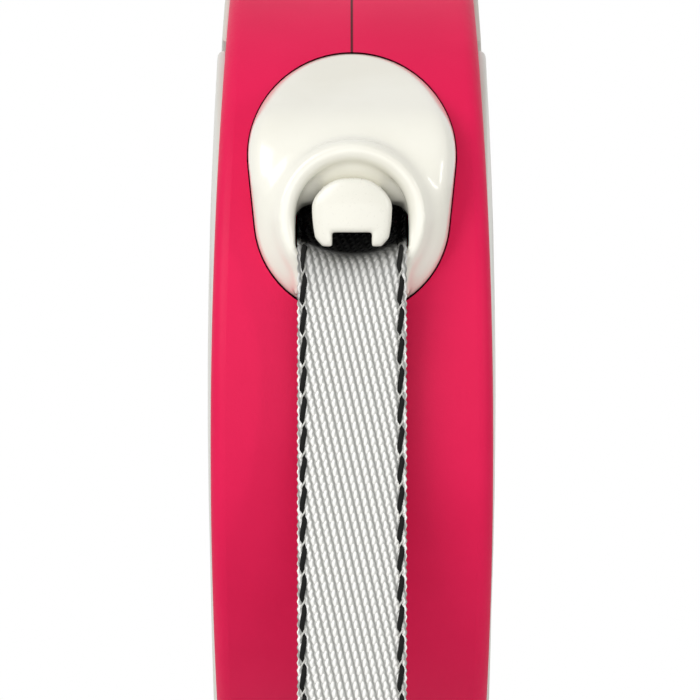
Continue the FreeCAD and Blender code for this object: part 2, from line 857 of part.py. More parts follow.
# ---------------------------------------------------------------- reel
def spool():
    """Drum, hub and right flange in one moulding, with ratchet teeth round the rim."""
    name = "spool"
    body = new_body(name)
    bore = size("axle_radius") + size("running_gap")
    hub, drum, wall = size("hub_radius"), size("drum_radius"), size("drum_wall")
    side = size("tape_width") / 2.0 + size("tape_side_gap")
    plate = side + size("flange_thickness")
    rim_side = side + size("ratchet_thickness")
    rim, rim_inner = size("flange_radius"), size("flange_radius") - size("rim_depth")
    profile = new_sketch(body, "XZ_Plane", name + "_profile")
    add_outline(profile, [
        (-side, bore), (rim_side, bore), (rim_side, hub), (plate, hub), (plate, rim_inner),
        (rim_side, rim_inner), (rim_side, rim), (side, rim), (side, drum), (-side, drum),
        (-side, drum - wall), (side, drum - wall), (side, hub), (-side, hub),
    ])
    revolve(body, profile)

    notch = new_sketch(body, "YZ_Plane", name + "_notch", side - 1.0)
    steep, root_radius = size("tooth_angle"), rim - size("tooth_depth")
    sweep = as_size(360.0) / size("tooth_count") * size("tooth_share")
    outside = rim + 1.0
    add_outline(notch, [
        (root_radius * cosine(steep), root_radius * sine(steep)),
        (outside * cosine(steep), outside * sine(steep)),
        (outside * cosine(steep + sweep), outside * sine(steep + sweep)),
        (rim * cosine(steep + sweep), rim * sine(steep + sweep)),
    ])
    cut = pocket(body, notch, reverse=True)
    teeth = body.newObject("PartDesign::PolarPattern", name + "_teeth")
    teeth.Originals = [cut]
    teeth.Axis = (notch, ["N_Axis"])
    teeth.Angle = 360
    bind(teeth, "Occurrences", size("tooth_count"))
    body.Tip = teeth
    doc.recompute()
    return body


def ring_body(name, low_x, high_x, inner, outer):
    """A plain ring about the reel's axis."""
    body = new_body(name)
    profile = new_sketch(body, "XZ_Plane", name + "_profile")
    add_box(profile, low_x, inner, high_x, outer)
    revolve(body, profile)
    return body


def spool_flange():
    side = size("tape_width") / 2.0 + size("tape_side_gap")
    bore = size("axle_radius") + size("running_gap")
    return ring_body("spool_flange", -side - size("flange_thickness"), -side, bore, size("flange_radius"))


def tape_winding():
    half = size("tape_width") / 2.0
    return ring_body("tape_winding", -half, half, size("drum_radius"), size("winding_radius"))


def spring_case_inner_x():
    return size("tape_width") / 2.0 + size("tape_side_gap") + size("flange_thickness")


def spring_case_outer_x():
    return size("chamber_half") - size("end_float")


def spring_case():
    """Cup on the left flange that turns with the spool and holds the power spring."""
    name = "spring_case"
    body = new_body(name)
    near, far, wall = spring_case_inner_x(), spring_case_outer_x(), size("spring_case_wall")
    outer, bore = size("spring_case_radius"), size("washer_radius") + size("running_gap")
    profile = new_sketch(body, "XZ_Plane", name + "_profile")
    add_outline(profile, [
        (-far, bore), (wall - far, bore), (wall - far, outer - wall), (-near, outer - wall),
        (-near, outer), (-far, outer),
    ])
    revolve(body, profile)
    return body


def spool_axle():
    """Steel axle seated in both shells, with a shoulder beside the spool's hub."""
    name = "spool_axle"
    body = new_body(name)
    end, radius = size("axle_half"), size("axle_radius")
    shoulder = axle_shoulder_x()
    far = size("chamber_half") - size("seat_gap")
    profile = new_sketch(body, "XZ_Plane", name + "_profile")
    add_outline(profile, [
        (-end, ZERO), (end, ZERO), (end, radius), (far, radius), (far, size("washer_radius")),
        (shoulder, size("washer_radius")), (shoulder, radius), (-end, radius),
    ])
    revolve(body, profile)
    return body


def axle_shoulder_x():
    hub_end = size("tape_width") / 2.0 + size("tape_side_gap") + size("ratchet_thickness")
    return hub_end + size("washer_thickness") + size("end_play")


def axle_washers():
    """Two thrust washers: by the axle's shoulder and between the spring case and shell."""
    name = "axle_washers"
    thickness, play = size("washer_thickness"), size("end_play") / 2.0
    bore, outer = size("axle_radius") + size("running_gap"), size("washer_radius")
    shoulder = axle_shoulder_x()
    near = size("chamber_half") - play
    rings = []
    for low, high in ((shoulder - play - thickness, shoulder - play), (-near, thickness - near)):
        for radius, kind in ((outer, "outer"), (bore, "bore")):
            rod = doc.addObject("Part::Cylinder", "%s_%s" % (name, kind))
            bind(rod, "Radius", radius)
            bind(rod, "Height", high - low)
            rod.Placement.Rotation = FreeCAD.Rotation(FreeCAD.Vector(0, 1, 0), 90)
            bind(rod, "Placement.Base.x", low)
            rings.append(rod)
    cuts = []
    for outer_rod, bore_rod in (rings[0:2], rings[2:4]):
        cut = doc.addObject("Part::Cut", name + "_ring")
        cut.Base, cut.Tool = outer_rod, bore_rod
        cuts.append(cut)
    pair = doc.addObject("Part::Compound", name)
    pair.Links = cuts
    pair.Label = name
    place_on_reel(pair)
    doc.recompute()
    return pair


def place_on_reel(thing, y=ZERO, z=ZERO):
    bind(thing, "Placement.Base.y", y - size("grip_behind_reel"))
    bind(thing, "Placement.Base.z", z - size("grip_above_reel"))


def power_spring():
    """Flat spiral spring from the axle to the case's wall, in half circles that grow by
    half a pitch each."""
    name = "power_spring"
    ribbon, pitch = size("spring_ribbon").value, size("spring_pitch").value
    inner = size("axle_radius").value + size("spring_gap").value + ribbon / 2
    outer = size("spring_case_radius").value - size("spring_case_wall").value
    outer -= size("spring_gap").value + ribbon / 2
    half_turns = int((outer - inner) / (pitch / 2))
    last = inner + half_turns * pitch / 2
    faces = []
    for side in (-1, 1):
        arcs = []
        for number in range(half_turns):
            radius = outer - (last - inner) + number * pitch / 2 + side * ribbon / 2
            sign = 1 if number % 2 == 0 else -1
            middle = 0.0 if number % 2 == 0 else pitch / 2
            ends = [FreeCAD.Vector(0, middle + reach, 0) for reach in (radius * sign, -radius * sign)]
            bulge = FreeCAD.Vector(0, middle, radius * sign)
            arcs.append((ends[0], bulge, ends[1]))
        faces.append(arcs)
    edges = [Part.Arc(*arc).toShape() for arc in faces[0]]
    edges += [Part.Arc(*arc).toShape() for arc in faces[1]]
    edges.append(Part.makeLine(faces[0][0][0], faces[1][0][0]))
    edges.append(Part.makeLine(faces[0][-1][2], faces[1][-1][2]))
    face = Part.Face(Part.Wire(Part.__sortEdges__(edges)))
    near, far = spring_case_inner_x(), spring_case_outer_x() - size("spring_case_wall")
    clearance = size("end_play").value
    width = far.value - near.value - 2 * clearance
    ribbon_solid = face.extrude(FreeCAD.Vector(width, 0, 0))
    ribbon_solid.translate(FreeCAD.Vector(clearance - far.value, 0, 0))
    spring = doc.addObject("Part::Feature", name)
    spring.Shape = ribbon_solid
    spring.Label = name
    place_on_reel(spring)
    doc.recompute()
    return spring


# ---------------------------------------------------------------- screws
def housing_screws():
    """Five screws put in from the left, with pan heads in the left shell's recesses."""
    name = "housing_screws"
    seat, tip = -size("screw_seat"), size("screw_tip")
    screws = []
    for place, (y, z) in SCREW_PLACES.items():
        parts = []
        for kind, radius, low, high in (
            ("shank", size("screw_radius"), seat, tip),
            ("head", size("screw_head_radius"), seat - size("screw_head_height"), seat),
        ):
            rod = doc.addObject("Part::Cylinder", "%s_%s_%s" % (name, place, kind))
            bind(rod, "Radius", radius)
            bind(rod, "Height", high - low)
            rod.Placement = FreeCAD.Placement(
                FreeCAD.Vector(0, y, z), FreeCAD.Rotation(FreeCAD.Vector(0, 1, 0), 90))
            bind(rod, "Placement.Base.x", low)
            parts.append(rod)
        screw = doc.addObject("Part::Fuse", "%s_%s" % (name, place))
        screw.Base, screw.Tool = parts
        screws.append(screw)
    group = doc.addObject("Part::Compound", name)
    group.Links = screws
    group.Label = name
    place_on_reel(group)
    doc.recompute()
    return group


# ---------------------------------------------------------------- brake
def pawl_middle_x():
    return (size("tape_width") + size("ratchet_thickness")) / 2.0 + size("tape_side_gap")


def brake_pawl():
    """Lever over the ratchet: it turns on its pin in front, and the button's plunger
    presses its tail so that the tooth drops into a notch of the rim."""
    name = "brake_pawl"
    body = new_body(name)
    pivot_y, pivot_z = size("pawl_pivot_y"), pawl_pivot_z()
    low = pawl_middle_x() - size("pawl_width") / 2.0
    arm = new_sketch(body, "YZ_Plane", name + "_arm", low)
    add_hull(arm, [
        (pivot_y, pivot_z, size("pawl_hub_radius")),
        (size("pawl_tail_y"), pivot_z + size("pawl_tail_rise"), size("pawl_tail_radius")),
    ])
    pad(body, arm, size("pawl_width"))
    tip_y, tip_z = size("pawl_tip_y"), size("flange_radius") + size("pawl_tip_gap")
    tooth = new_sketch(body, "YZ_Plane", name + "_tooth", low)
    add_outline(tooth, [
        (tip_y - 0.75, tip_z),
        (tip_y, tip_z + 0.1),
        (tip_y + 0.2, tip_z + 1.8),
        (tip_y + 0.2, pivot_z),
        (tip_y - 10.0, pivot_z),
        (tip_y - 6.5, tip_z + 2.0),
    ])
    pad(body, tooth, size("pawl_width"))
    hole = new_sketch(body, "YZ_Plane", name + "_hole", low - 1.0)
    add_circle(hole, pivot_y, pivot_z, size("pin_radius") + size("running_gap"))
    pocket(body, hole, reverse=True)
    return body


def rod_along_x(name, y, z, radius, low, high):
    rod = doc.addObject("Part::Cylinder", name)
    rod.Label = name
    bind(rod, "Radius", radius)
    bind(rod, "Height", high - low)
    rod.Placement.Rotation = FreeCAD.Rotation(FreeCAD.Vector(0, 1, 0), 90)
    place_on_reel(rod, y, z)
    bind(rod, "Placement.Base.x", low)
    doc.recompute()
    return rod


def pawl_pin():
    half = size("pin_half") - size("seat_gap")
    return rod_along_x("pawl_pin", size("pawl_pivot_y"), pawl_pivot_z(), size("pin_radius"), -half, half)


def brake_button():
    """Thumb button over the reel: a crowned pad with skirts in the well, a lip behind
    that stops it under the shell, and a plunger over the pawl's tail."""
    name = "brake_button"
    body = new_body(name)
    front, back, low = size("button_front"), size("button_back"), size("button_low")
    lip_low, lip_high = size("button_lip_z"), size("button_lip_z") + size("button_lip_height")
    crown = size("button_top")
    side = new_sketch(body, "YZ_Plane", name + "_side")
    add_outline(side, [
        (front, low),
        (back, low),
        (back, lip_low),
        (back + size("button_lip_reach"), lip_low),
        (back + size("button_lip_reach"), lip_high),
        (back, lip_high),
        (back, crown - 3.2),
        (back - 5.0, crown, 60.0),
        (front + 6.0, crown - 0.6),
        (front, crown - 4.0),
    ])
    pad(body, side, size("button_half_width") * 2.0, middle=True)

    half_width = size("button_half_width").value

    def top_edge(edge):
        place = edge_middle(edge)
        return abs(abs(place.x) - half_width) < 0.01 and place.z > crown.value - 2.5

    chamfer(body, size("button_bevel"), top_edge)

    hollow = new_sketch(body, "XY_Plane", name + "_hollow", low)
    reach = size("button_half_width") - size("button_wall")
    add_box(hollow, -reach, front + size("button_wall"), reach, back - size("button_wall"))
    pocket(body, hollow, size("button_hollow"), reverse=True)

    roof = low + size("button_hollow")
    tail_top = pawl_pivot_z() + size("pawl_tail_rise") + size("pawl_tail_radius")
    plunger = new_sketch(body, "XY_Plane", name + "_plunger", tail_top + size("plunger_gap"))
    middle = pawl_middle_x()
    tail = size("pawl_tail_y")
    half = size("pawl_width") / 2.0
    add_box(plunger, middle - half, tail - 1.6, size("button_half_width"), tail + 1.6)
    pad(body, plunger, roof - tail_top - size("plunger_gap") + 0.5)

    seat = new_sketch(body, "XY_Plane", name + "_spring_seat", size("spring_top"))
    add_circle(seat, -size("spring_x"), size("spring_y"), size("coil_radius") + 1.2)
    pad(body, seat, roof - size("spring_top") + 0.5)
    return body


def coil_spring(name, radius, wire, low, high):
    """A coil about an upright axis, between two heights above that axis's foot."""
    rise = (high - low - wire).value
    radius, wire_radius = radius.value, wire.value / 2
    helix = Part.makeHelix(rise / size("coil_turns").value, rise, radius)
    corners = []
    for number in range(7):
        turn = math.radians(60 * number)
        reach, lift = wire_radius * math.cos(turn), wire_radius * math.sin(turn)
        corners.append(FreeCAD.Vector(radius + reach, 0, lift))
    coil = Part.Wire(helix.Edges).makePipeShell([Part.makePolygon(corners)], True, True)
    spring = doc.addObject("Part::Feature", name)
    spring.Shape = coil
    spring.Label = name
    return spring


def brake_spring():
    """Coil spring between the left shell's shelf and the button."""
    wire, low = size("coil_wire"), size("shelf_top") + size("spring_end_gap")
    high = size("spring_top") - size("spring_end_gap")
    spring = coil_spring("brake_spring", size("coil_radius"), wire, low, high)
    place_on_reel(spring, size("spring_y"), low + wire / 2.0)
    bind(spring, "Placement.Base.x", -size("spring_x"))
    doc.recompute()
    return spring


def brake_lock():
    """Slider behind the button: its tongue goes over the button's lip when that is down."""
    name = "brake_lock"
    body = new_body(name)
    tongue, step = size("lock_low"), size("lock_low") + size("lock_tongue")
    front, back = size("lock_front"), size("lock_back")
    reach = size("lock_tongue_reach")
    neck_front, neck_back = size("lock_neck_front"), size("lock_neck_back")
    base = new_sketch(body, "YZ_Plane", name + "_base")
    add_outline(base, [
        (front, tongue), (back, tongue), (back, size("lock_base_top")),
        (front + reach, size("lock_base_top")), (front + reach, step), (front, step),
    ])
    pad(body, base, size("lock_base_half") * 2.0, middle=True)
    neck = new_sketch(body, "YZ_Plane", name + "_neck")
    add_box(neck, neck_front, size("lock_base_top") - 0.5, neck_back, size("lock_knob_low") + 0.5)
    pad(body, neck, size("lock_neck_half") * 2.0, middle=True)
    knob = new_sketch(body, "YZ_Plane", name + "_knob")
    low, high = size("lock_knob_low"), size("lock_knob_low") + size("lock_knob_height")
    add_outline(knob, [
        (neck_front - 1.8, low), (neck_back + 1.8, low), (neck_back + 0.8, high), (neck_front - 0.8, high),
    ])
    pad(body, knob, size("lock_knob_half") * 2.0, middle=True)
    return body


# ---------------------------------------------------------------- tape
# The tape's route at its mid-width and mid-thickness, from the part's origin.
LEAD_ROUTE = [(-122.80, 33.20), (-161.25, 15.89)]
HANGING_ROUTE = [
    (-161.25, 15.89),
    (-165.20, 14.11),
    (-165.30, 6.00),
    (-165.45, -9.00),
    (-165.70, -37.00),
    (-165.50, -79.00),
]


def tape_along(name, route):
    """A flat strip along a route in the YZ plane: straight runs joined by tangent arcs."""
    points = [FreeCAD.Vector(0, y, z) for y, z in route]
    edges = []
    length = 0.0
    last = points[0]
    for before, corner, after in zip(points, points[1:], points[2:]):
        towards, onwards = before - corner, after - corner
        half_turn = (math.pi - towards.getAngle(onwards)) / 2
        shorter = min(towards.Length, onwards.Length)
        radius = 0.45 * shorter / math.tan(half_turn)
        reach = 0.45 * shorter
        towards.normalize()
        onwards.normalize()
        start, end = corner + towards * reach, corner + onwards * reach
        inward = (towards + onwards).normalize()
        apex = corner + inward * (radius / math.cos(half_turn) - radius)
        edges.append(Part.LineSegment(last, start).toShape())
        edges.append(Part.Arc(start, apex, end).toShape())
        length += (start - last).Length + 2 * half_turn * radius
        last = end
        print("%s: bend radius %.1f mm" % (name, radius))
    edges.append(Part.LineSegment(last, points[-1]).toShape())
    length += (points[-1] - last).Length
    width, thickness = size("tape_width").value, size("tape_thickness").value
    along = (points[1] - points[0]).normalize()
    across = FreeCAD.Vector(1, 0, 0)
    through = along.cross(across) * (thickness / 2)
    corners = [
        points[0] + across * (x * width / 2) + through * side
        for x, side in ((-1, -1), (1, -1), (1, 1), (-1, 1))
    ]
    section = Part.makePolygon(corners + corners[:1])
    strip = Part.Wire(edges).makePipeShell([section], True, False)
    expected = width * thickness * length
    print("%s: length %.1f mm, volume %.1f against %.1f" % (name, length, strip.Volume, expected))
    tape = doc.addObject("Part::Feature", name)
    tape.Shape = strip
    tape.Label = name
    tape.Placement = FreeCAD.Placement()
    doc.recompute()
    return tape


# ---------------------------------------------------------------- end of the tape
def end_body(name):
    """A body whose own origin is the lower end of the hanging tape."""
    body = doc.addObject("PartDesign::Body", name)
    body.Label = name
    body.Placement.Base = FreeCAD.Vector(0, HANGING_ROUTE[-1][0], HANGING_ROUTE[-1][1])
    return body


def tape_stopper():
    """Moulded sleeve over the doubled end of the tape."""
    name = "tape_stopper"
    body = end_body(name)
    block = new_sketch(body, "XY_Plane", name + "_block", -size("stopper_top"))
    half, depth = size("stopper_half_width"), size("stopper_half_depth")
    add_box(block, -half, -depth, half, depth)
    pad(body, block, size("stopper_height"), reverse=True)
    height = size("stopper_height").value
    fillet(body, size("stopper_round"), lambda edge: abs(edge.BoundBox.ZLength - height) < 0.01)
    fillet(body, size("stopper_edge"), lambda edge: edge.BoundBox.ZLength < 0.01)
    slot = new_sketch(body, "XY_Plane", name + "_slot")
    half = size("tape_width") / 2.0 + size("loop_gap")
    depth = size("loop_thickness") / 2.0 + size("loop_gap")
    add_box(slot, -half, -depth, half, depth)
    pocket(body, slot, middle=True)
    return body


def tape_loop():
    """Doubled and stitched end of the tape, folded round the swivel ring's bar."""
    name = "tape_loop"
    body = end_body(name)
    half = size("loop_thickness") / 2.0
    drop, hole = -size("bar_drop"), size("loop_hole")
    doubled = new_sketch(body, "YZ_Plane", name + "_doubled")
    add_box(doubled, -half, drop + hole + size("tape_thickness") / 2.0, half, ZERO)
    pad(body, doubled, size("tape_width"), middle=True)
    fold = new_sketch(body, "YZ_Plane", name + "_fold")
    add_circle(fold, ZERO, drop, hole + size("tape_thickness"))
    pad(body, fold, size("tape_width"), middle=True)
    eye = new_sketch(body, "YZ_Plane", name + "_eye")
    add_circle(eye, ZERO, drop, hole)
    pocket(body, eye, middle=True)
    return body


def swivel_ring():
    """Cast ring with the tape's bar above and the swivel's collar below."""
    name = "swivel_ring"
    body = end_body(name)
    bar, thick = size("bar_drop"), size("bar_thickness")
    half = thick / 2.0
    leg = size("ring_leg")
    inner_half = size("tape_width") / 2.0 + size("loop_gap")
    plate = new_sketch(body, "XZ_Plane", name + "_plate")
    corner = half + 0.7
    add_hull(plate, [
        (ZERO, -bar - size("ring_length"), size("collar_radius")),
        (inner_half + leg - corner, -bar - 0.7, corner),
        (corner - inner_half - leg, -bar - 0.7, corner),
    ])
    pad(body, plate, thick, middle=True)
    window = new_sketch(body, "XZ_Plane", name + "_window")
    small = size("ring_corner")
    add_hull(window, [
        (ZERO, -bar - size("ring_length") + size("collar_radius"), small),
        (inner_half - small, -bar - half - size("ring_shoulder"), small),
        (inner_half - small, -bar - half - small, small),
        (small - inner_half, -bar - half - small, small),
        (small - inner_half, -bar - half - size("ring_shoulder"), small),
    ])
    pocket(body, window, middle=True)

    collar = new_sketch(body, "XZ_Plane", name + "_collar")
    top, low = -size("collar_top"), -size("collar_top") - size("collar_height")
    add_box(collar, ZERO, low, size("collar_radius"), top)
    revolve(body, collar, "V_Axis")
    room = new_sketch(body, "XY_Plane", name + "_head_room", top)
    add_circle(room, ZERO, ZERO, size("head_radius") + size("head_gap"))
    pocket(body, room, size("head_height") + 2.0 * size("head_gap"), reverse=True)
    bore = new_sketch(body, "XY_Plane", name + "_bore", low - 1.0)
    add_circle(bore, ZERO, ZERO, size("stem_radius") + size("running_gap"))
    pocket(body, bore, size("collar_height") + 2.0, reverse=True)
    return body


def barrel_top_z():
    return -size("collar_top") - size("collar_height") - size("barrel_drop")


def hook_body():
    """Cast snap hook: a riveted stem in the collar, a round hook and the bolt's barrel."""
    name = "hook_body"
    body = end_body(name)
    top, low = -size("collar_top"), -size("collar_top") - size("collar_height")
    gap = size("head_gap")
    head, stem, neck = size("head_radius"), size("stem_radius"), size("neck_radius")
    stalk = new_sketch(body, "XZ_Plane", name + "_stalk")
    add_outline(stalk, [
        (ZERO, top + gap + size("head_height")),
        (ZERO, low - gap - 4.0),
        (neck, low - gap - 4.0),
        (neck, low - gap),
        (stem, low - gap),
        (stem, top + gap),
        (head, top + gap),
        (head, top + gap + size("head_height")),
    ])
    revolve(body, stalk, "V_Axis")

    shoulder, barrel = barrel_top_z(), size("barrel_radius")
    bolt_x, centre = size("bolt_x"), shoulder - size("hook_drop")
    outer, inner = size("hook_radius"), size("hook_radius") - size("hook_wall")
    frame = new_sketch(body, "XZ_Plane", name + "_frame")
    add_hull(frame, [
        (size("hook_x"), centre, outer),
        (bolt_x, shoulder - barrel, barrel + 0.4),
        (size("hook_x") - 1.5, shoulder - 4.5, size("hook_shoulder")),
    ])
    pad(body, frame, size("hook_thickness"), middle=True)
    eye = new_sketch(body, "XZ_Plane", name + "_eye")
    add_hull(eye, [
        (size("hook_x"), centre, inner),
        (bolt_x - barrel - 4.6, centre + size("eye_rise"), size("eye_top_radius")),
    ])
    pocket(body, eye, middle=True)
    gate_top = shoulder - size("barrel_length")
    gate = new_sketch(body, "XZ_Plane", name + "_gate")
    add_box(gate, bolt_x - barrel - 1.6, gate_top - size("gate_gap"), bolt_x + 10.0, gate_top)
    pocket(body, gate, middle=True)

    def face_edge(edge):
        place = edge_middle(edge)
        return abs(abs(place.y) - size("hook_thickness").value / 2) < 0.01 and place.z < shoulder.value - 12

    fillet(body, size("hook_round"), face_edge)

    sleeve = new_sketch(body, "XY_Plane", name + "_barrel", gate_top)
    add_circle(sleeve, bolt_x, ZERO, barrel)
    pad(body, sleeve, size("barrel_length") - 1.0)
    bore = new_sketch(body, "XY_Plane", name + "_bolt_bore", gate_top)
    add_circle(bore, bolt_x, ZERO, size("bolt_radius") + size("running_gap"))
    pocket(body, bore, size("barrel_length") - size("barrel_roof"), reverse=True)
    slot = new_sketch(body, "XZ_Plane", name + "_slot")
    half = size("thumb_radius") + size("thumb_gap")
    knob = thumb_z()
    add_hull(slot, [(bolt_x, knob - 0.3, half), (bolt_x, knob + size("bolt_travel") + 0.3, half)])
    pocket(body, slot, reverse=True)
    tip = gate_top - size("gate_gap")
    socket = new_sketch(body, "XY_Plane", name + "_bolt_seat", tip)
    add_circle(socket, bolt_x, ZERO, size("bolt_radius") + 0.3)
    pocket(body, socket, size("bolt_seat") + 0.3)
    return body


def thumb_z():
    return barrel_top_z() - size("barrel_length") + size("thumb_rise")


def hook_bolt():
    """Sliding bolt that closes the hook, with a thumb stud through the barrel's slot."""
    name = "hook_bolt"
    body = end_body(name)
    gate_top = barrel_top_z() - size("barrel_length")
    low = gate_top - size("gate_gap") - size("bolt_seat")
    rod = new_sketch(body, "XY_Plane", name + "_rod", low)
    add_circle(rod, size("bolt_x"), ZERO, size("bolt_radius"))
    pad(body, rod, size("bolt_length"))
    stud = new_sketch(body, "XZ_Plane", name + "_stud")
    add_circle(stud, size("bolt_x"), thumb_z(), size("thumb_radius"))
    pad(body, stud, size("barrel_radius") + 1.4)
    knob = new_sketch(body, "XZ_Plane", name + "_knob", size("barrel_radius") + 0.4)
    add_circle(knob, size("bolt_x"), thumb_z(), size("thumb_head_radius"))
    pad(body, knob, size("thumb_head_height"))
    crest = -(size("barrel_radius") + 0.4 + size("thumb_head_height")).value

    def knob_rim(edge):
        return abs(edge.BoundBox.YMin - crest) < 0.01 and edge.BoundBox.YLength < 0.01

    fillet(body, size("thumb_round"), knob_rim)
    return body


def hook_spring():
    """Coil spring above the bolt in the barrel."""
    gate_top = barrel_top_z() - size("barrel_length")
    bolt_top = gate_top - size("gate_gap") - size("bolt_seat") + size("bolt_length")
    wire, gap = size("hook_coil_wire"), size("spring_end_gap")
    low, high = bolt_top + gap, barrel_top_z() - size("barrel_roof") - gap
    radius = size("bolt_radius") - wire / 2.0 - 0.1
    spring = coil_spring("hook_spring", radius, wire, low, high)
    end_y, end_z = HANGING_ROUTE[-1]
    bind(spring, "Placement.Base.x", size("bolt_x"))
    bind(spring, "Placement.Base.y", as_size(end_y))
    bind(spring, "Placement.Base.z", low + wire / 2.0 + end_z)
    doc.recompute()
    return spring


# ---------------------------------------------------------------- build and write
nodes = [
    housing_half("housing_left", LEFT),
    housing_half("housing_right", RIGHT),
    side_cover("side_cover_left", LEFT),
    side_cover("side_cover_right", RIGHT),
    grip_panel("grip_panel_left", LEFT),
    grip_panel("grip_panel_right", RIGHT),
    outlet_nozzle(),
    tape_guide(),
    spool(),
    spool_flange(),
    tape_winding(),
    spring_case(),
    power_spring(),
    spool_axle(),
    axle_washers(),
    housing_screws(),
    brake_pawl(),
    pawl_pin(),
    brake_button(),
    brake_spring(),
    brake_lock(),
    tape_along("tape_lead", LEAD_ROUTE),
    tape_along("leash_tape", HANGING_ROUTE),
    tape_stopper(),
    tape_loop(),
    swivel_ring(),
    hook_body(),
    hook_bolt(),
    hook_spring(),
]
doc.recompute()
for thing in doc.Objects:
    if "Invalid" in thing.State or "Error" in thing.State:
        raise RuntimeError("%s is not built: %s" % (thing.Name, thing.State))
for node in nodes:
    if node.Shape.isNull() or not node.Shape.isValid():
        raise RuntimeError("%s has no valid shape" % node.Label)
os.makedirs("parts", exist_ok=True)
for node in nodes:
    node.Shape.exportStep("parts/%s.step" % node.Label)
    print("%s: %d solids, %.0f mm3" % (node.Label, len(node.Shape.Solids), node.Shape.Volume))
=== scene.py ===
import json
from math import cos, exp, pi, radians, sin

import bpy
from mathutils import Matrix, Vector


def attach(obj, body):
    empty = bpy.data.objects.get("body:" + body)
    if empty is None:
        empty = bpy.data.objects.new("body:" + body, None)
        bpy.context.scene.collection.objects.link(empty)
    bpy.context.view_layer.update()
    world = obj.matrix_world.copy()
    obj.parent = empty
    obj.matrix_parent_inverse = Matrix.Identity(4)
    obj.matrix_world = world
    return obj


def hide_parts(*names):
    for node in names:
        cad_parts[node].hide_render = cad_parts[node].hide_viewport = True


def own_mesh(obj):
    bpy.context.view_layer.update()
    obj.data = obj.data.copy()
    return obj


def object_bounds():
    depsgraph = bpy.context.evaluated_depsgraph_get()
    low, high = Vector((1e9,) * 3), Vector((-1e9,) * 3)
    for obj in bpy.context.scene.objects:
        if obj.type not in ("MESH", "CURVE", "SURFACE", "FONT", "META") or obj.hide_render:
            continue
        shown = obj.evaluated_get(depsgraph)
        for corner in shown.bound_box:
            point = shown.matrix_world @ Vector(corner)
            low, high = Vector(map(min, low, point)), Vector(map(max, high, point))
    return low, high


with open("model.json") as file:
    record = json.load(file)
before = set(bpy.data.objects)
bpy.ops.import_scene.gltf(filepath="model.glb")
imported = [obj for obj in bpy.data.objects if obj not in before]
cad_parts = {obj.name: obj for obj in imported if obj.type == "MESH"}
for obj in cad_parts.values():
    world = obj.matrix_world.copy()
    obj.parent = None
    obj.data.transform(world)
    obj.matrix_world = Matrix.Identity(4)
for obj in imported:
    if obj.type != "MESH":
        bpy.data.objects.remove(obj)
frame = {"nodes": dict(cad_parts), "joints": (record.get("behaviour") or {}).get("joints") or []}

cad_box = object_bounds()
bpy.ops.object.select_all(action="DESELECT")

# ------------------------------------------------------------ camera
# The camera stands far in front of the nozzle, level with it, behind a long lens.
view_middle = Vector((-0.00025, -0.14, 0.0028))
view_width = 0.0963
lens = 900.0
sensor = 36.0
camera_turn = radians(-0.05)
camera_distance = view_width * lens / sensor
camera_data = bpy.data.cameras.new("camera")
camera_data.lens = lens
camera_data.sensor_width = sensor
camera_data.clip_start = 0.1
camera_data.clip_end = 20.0
camera = bpy.data.objects.new("camera", camera_data)
camera.location = view_middle + camera_distance * Vector((sin(camera_turn), -cos(camera_turn), 0.0))
camera.rotation_euler = (pi / 2.0, 0.0, camera_turn)
bpy.context.collection.objects.link(camera)
bpy.context.scene.camera = camera


# ------------------------------------------------------------ housing shells
# Two moulded halves in red ABS that meet on the middle line, satin outside with a fine
# spark-eroded grain. Five screws from the right pull them together.
def new_material(name):
    material = bpy.data.materials.new(name)
    material.use_nodes = True
    nodes = material.node_tree.nodes
    return material, nodes, material.node_tree.links, nodes["Principled BSDF"]


def object_place(nodes):
    return nodes.new("ShaderNodeTexCoord").outputs["Object"]


def object_noise(nodes, links, scale, detail=2.0):
    noise = nodes.new("ShaderNodeTexNoise")
    noise.inputs["Scale"].default_value = scale
    noise.inputs["Detail"].default_value = detail
    links.new(object_place(nodes), noise.inputs["Vector"])
    return noise


def combine(nodes, links, operation, *values):
    """The result of a math node; each value is a float or the output of another node."""
    node = nodes.new("ShaderNodeMath")
    node.operation = operation
    for socket, value in zip(node.inputs, values):
        if isinstance(value, float):
            socket.default_value = value
        else:
            links.new(value, socket)
    return node.outputs["Value"]


def fade(nodes, links, value, low, high, interpolation="SMOOTHSTEP"):
    """Goes from 0 to 1 as the value goes from low to high."""
    node = nodes.new("ShaderNodeMapRange")
    node.interpolation_type = interpolation
    node.inputs["From Min"].default_value = low
    node.inputs["From Max"].default_value = high
    links.new(value, node.inputs["Value"])
    return node.outputs["Result"]


def darkened(nodes, links, colour, dark, unshaded_ungrooved):
    """The colour where clean is 1, and the dark tone where it is 0: inputs 6 and 7 and
    output 2 are the mix node's colours."""
    mix = nodes.new("ShaderNodeMix")
    mix.data_type = "RGBA"
    mix.inputs[6].default_value = dark + (1.0,)
    links.new(unshaded_ungrooved, mix.inputs["Factor"])
    links.new(colour, mix.inputs[7])
    return mix.outputs[2]


def shade_between(nodes, links, factor, dark, light, low=0.35, high=0.65):
    ramp = nodes.new("ShaderNodeValToRGB")
    ramp.color_ramp.elements[0].position = low
    ramp.color_ramp.elements[0].color = dark + (1.0,)
    ramp.color_ramp.elements[1].position = high
    ramp.color_ramp.elements[1].color = light + (1.0,)
    links.new(factor, ramp.inputs["Fac"])
    return ramp.outputs["Color"]


def raise_surface(nodes, links, height, shader, distance, strength):
    bump = nodes.new("ShaderNodeBump")
    bump.inputs["Distance"].default_value = distance
    bump.inputs["Strength"].default_value = strength
    links.new(height, bump.inputs["Height"])
    links.new(bump.outputs["Normal"], shader.inputs["Normal"])


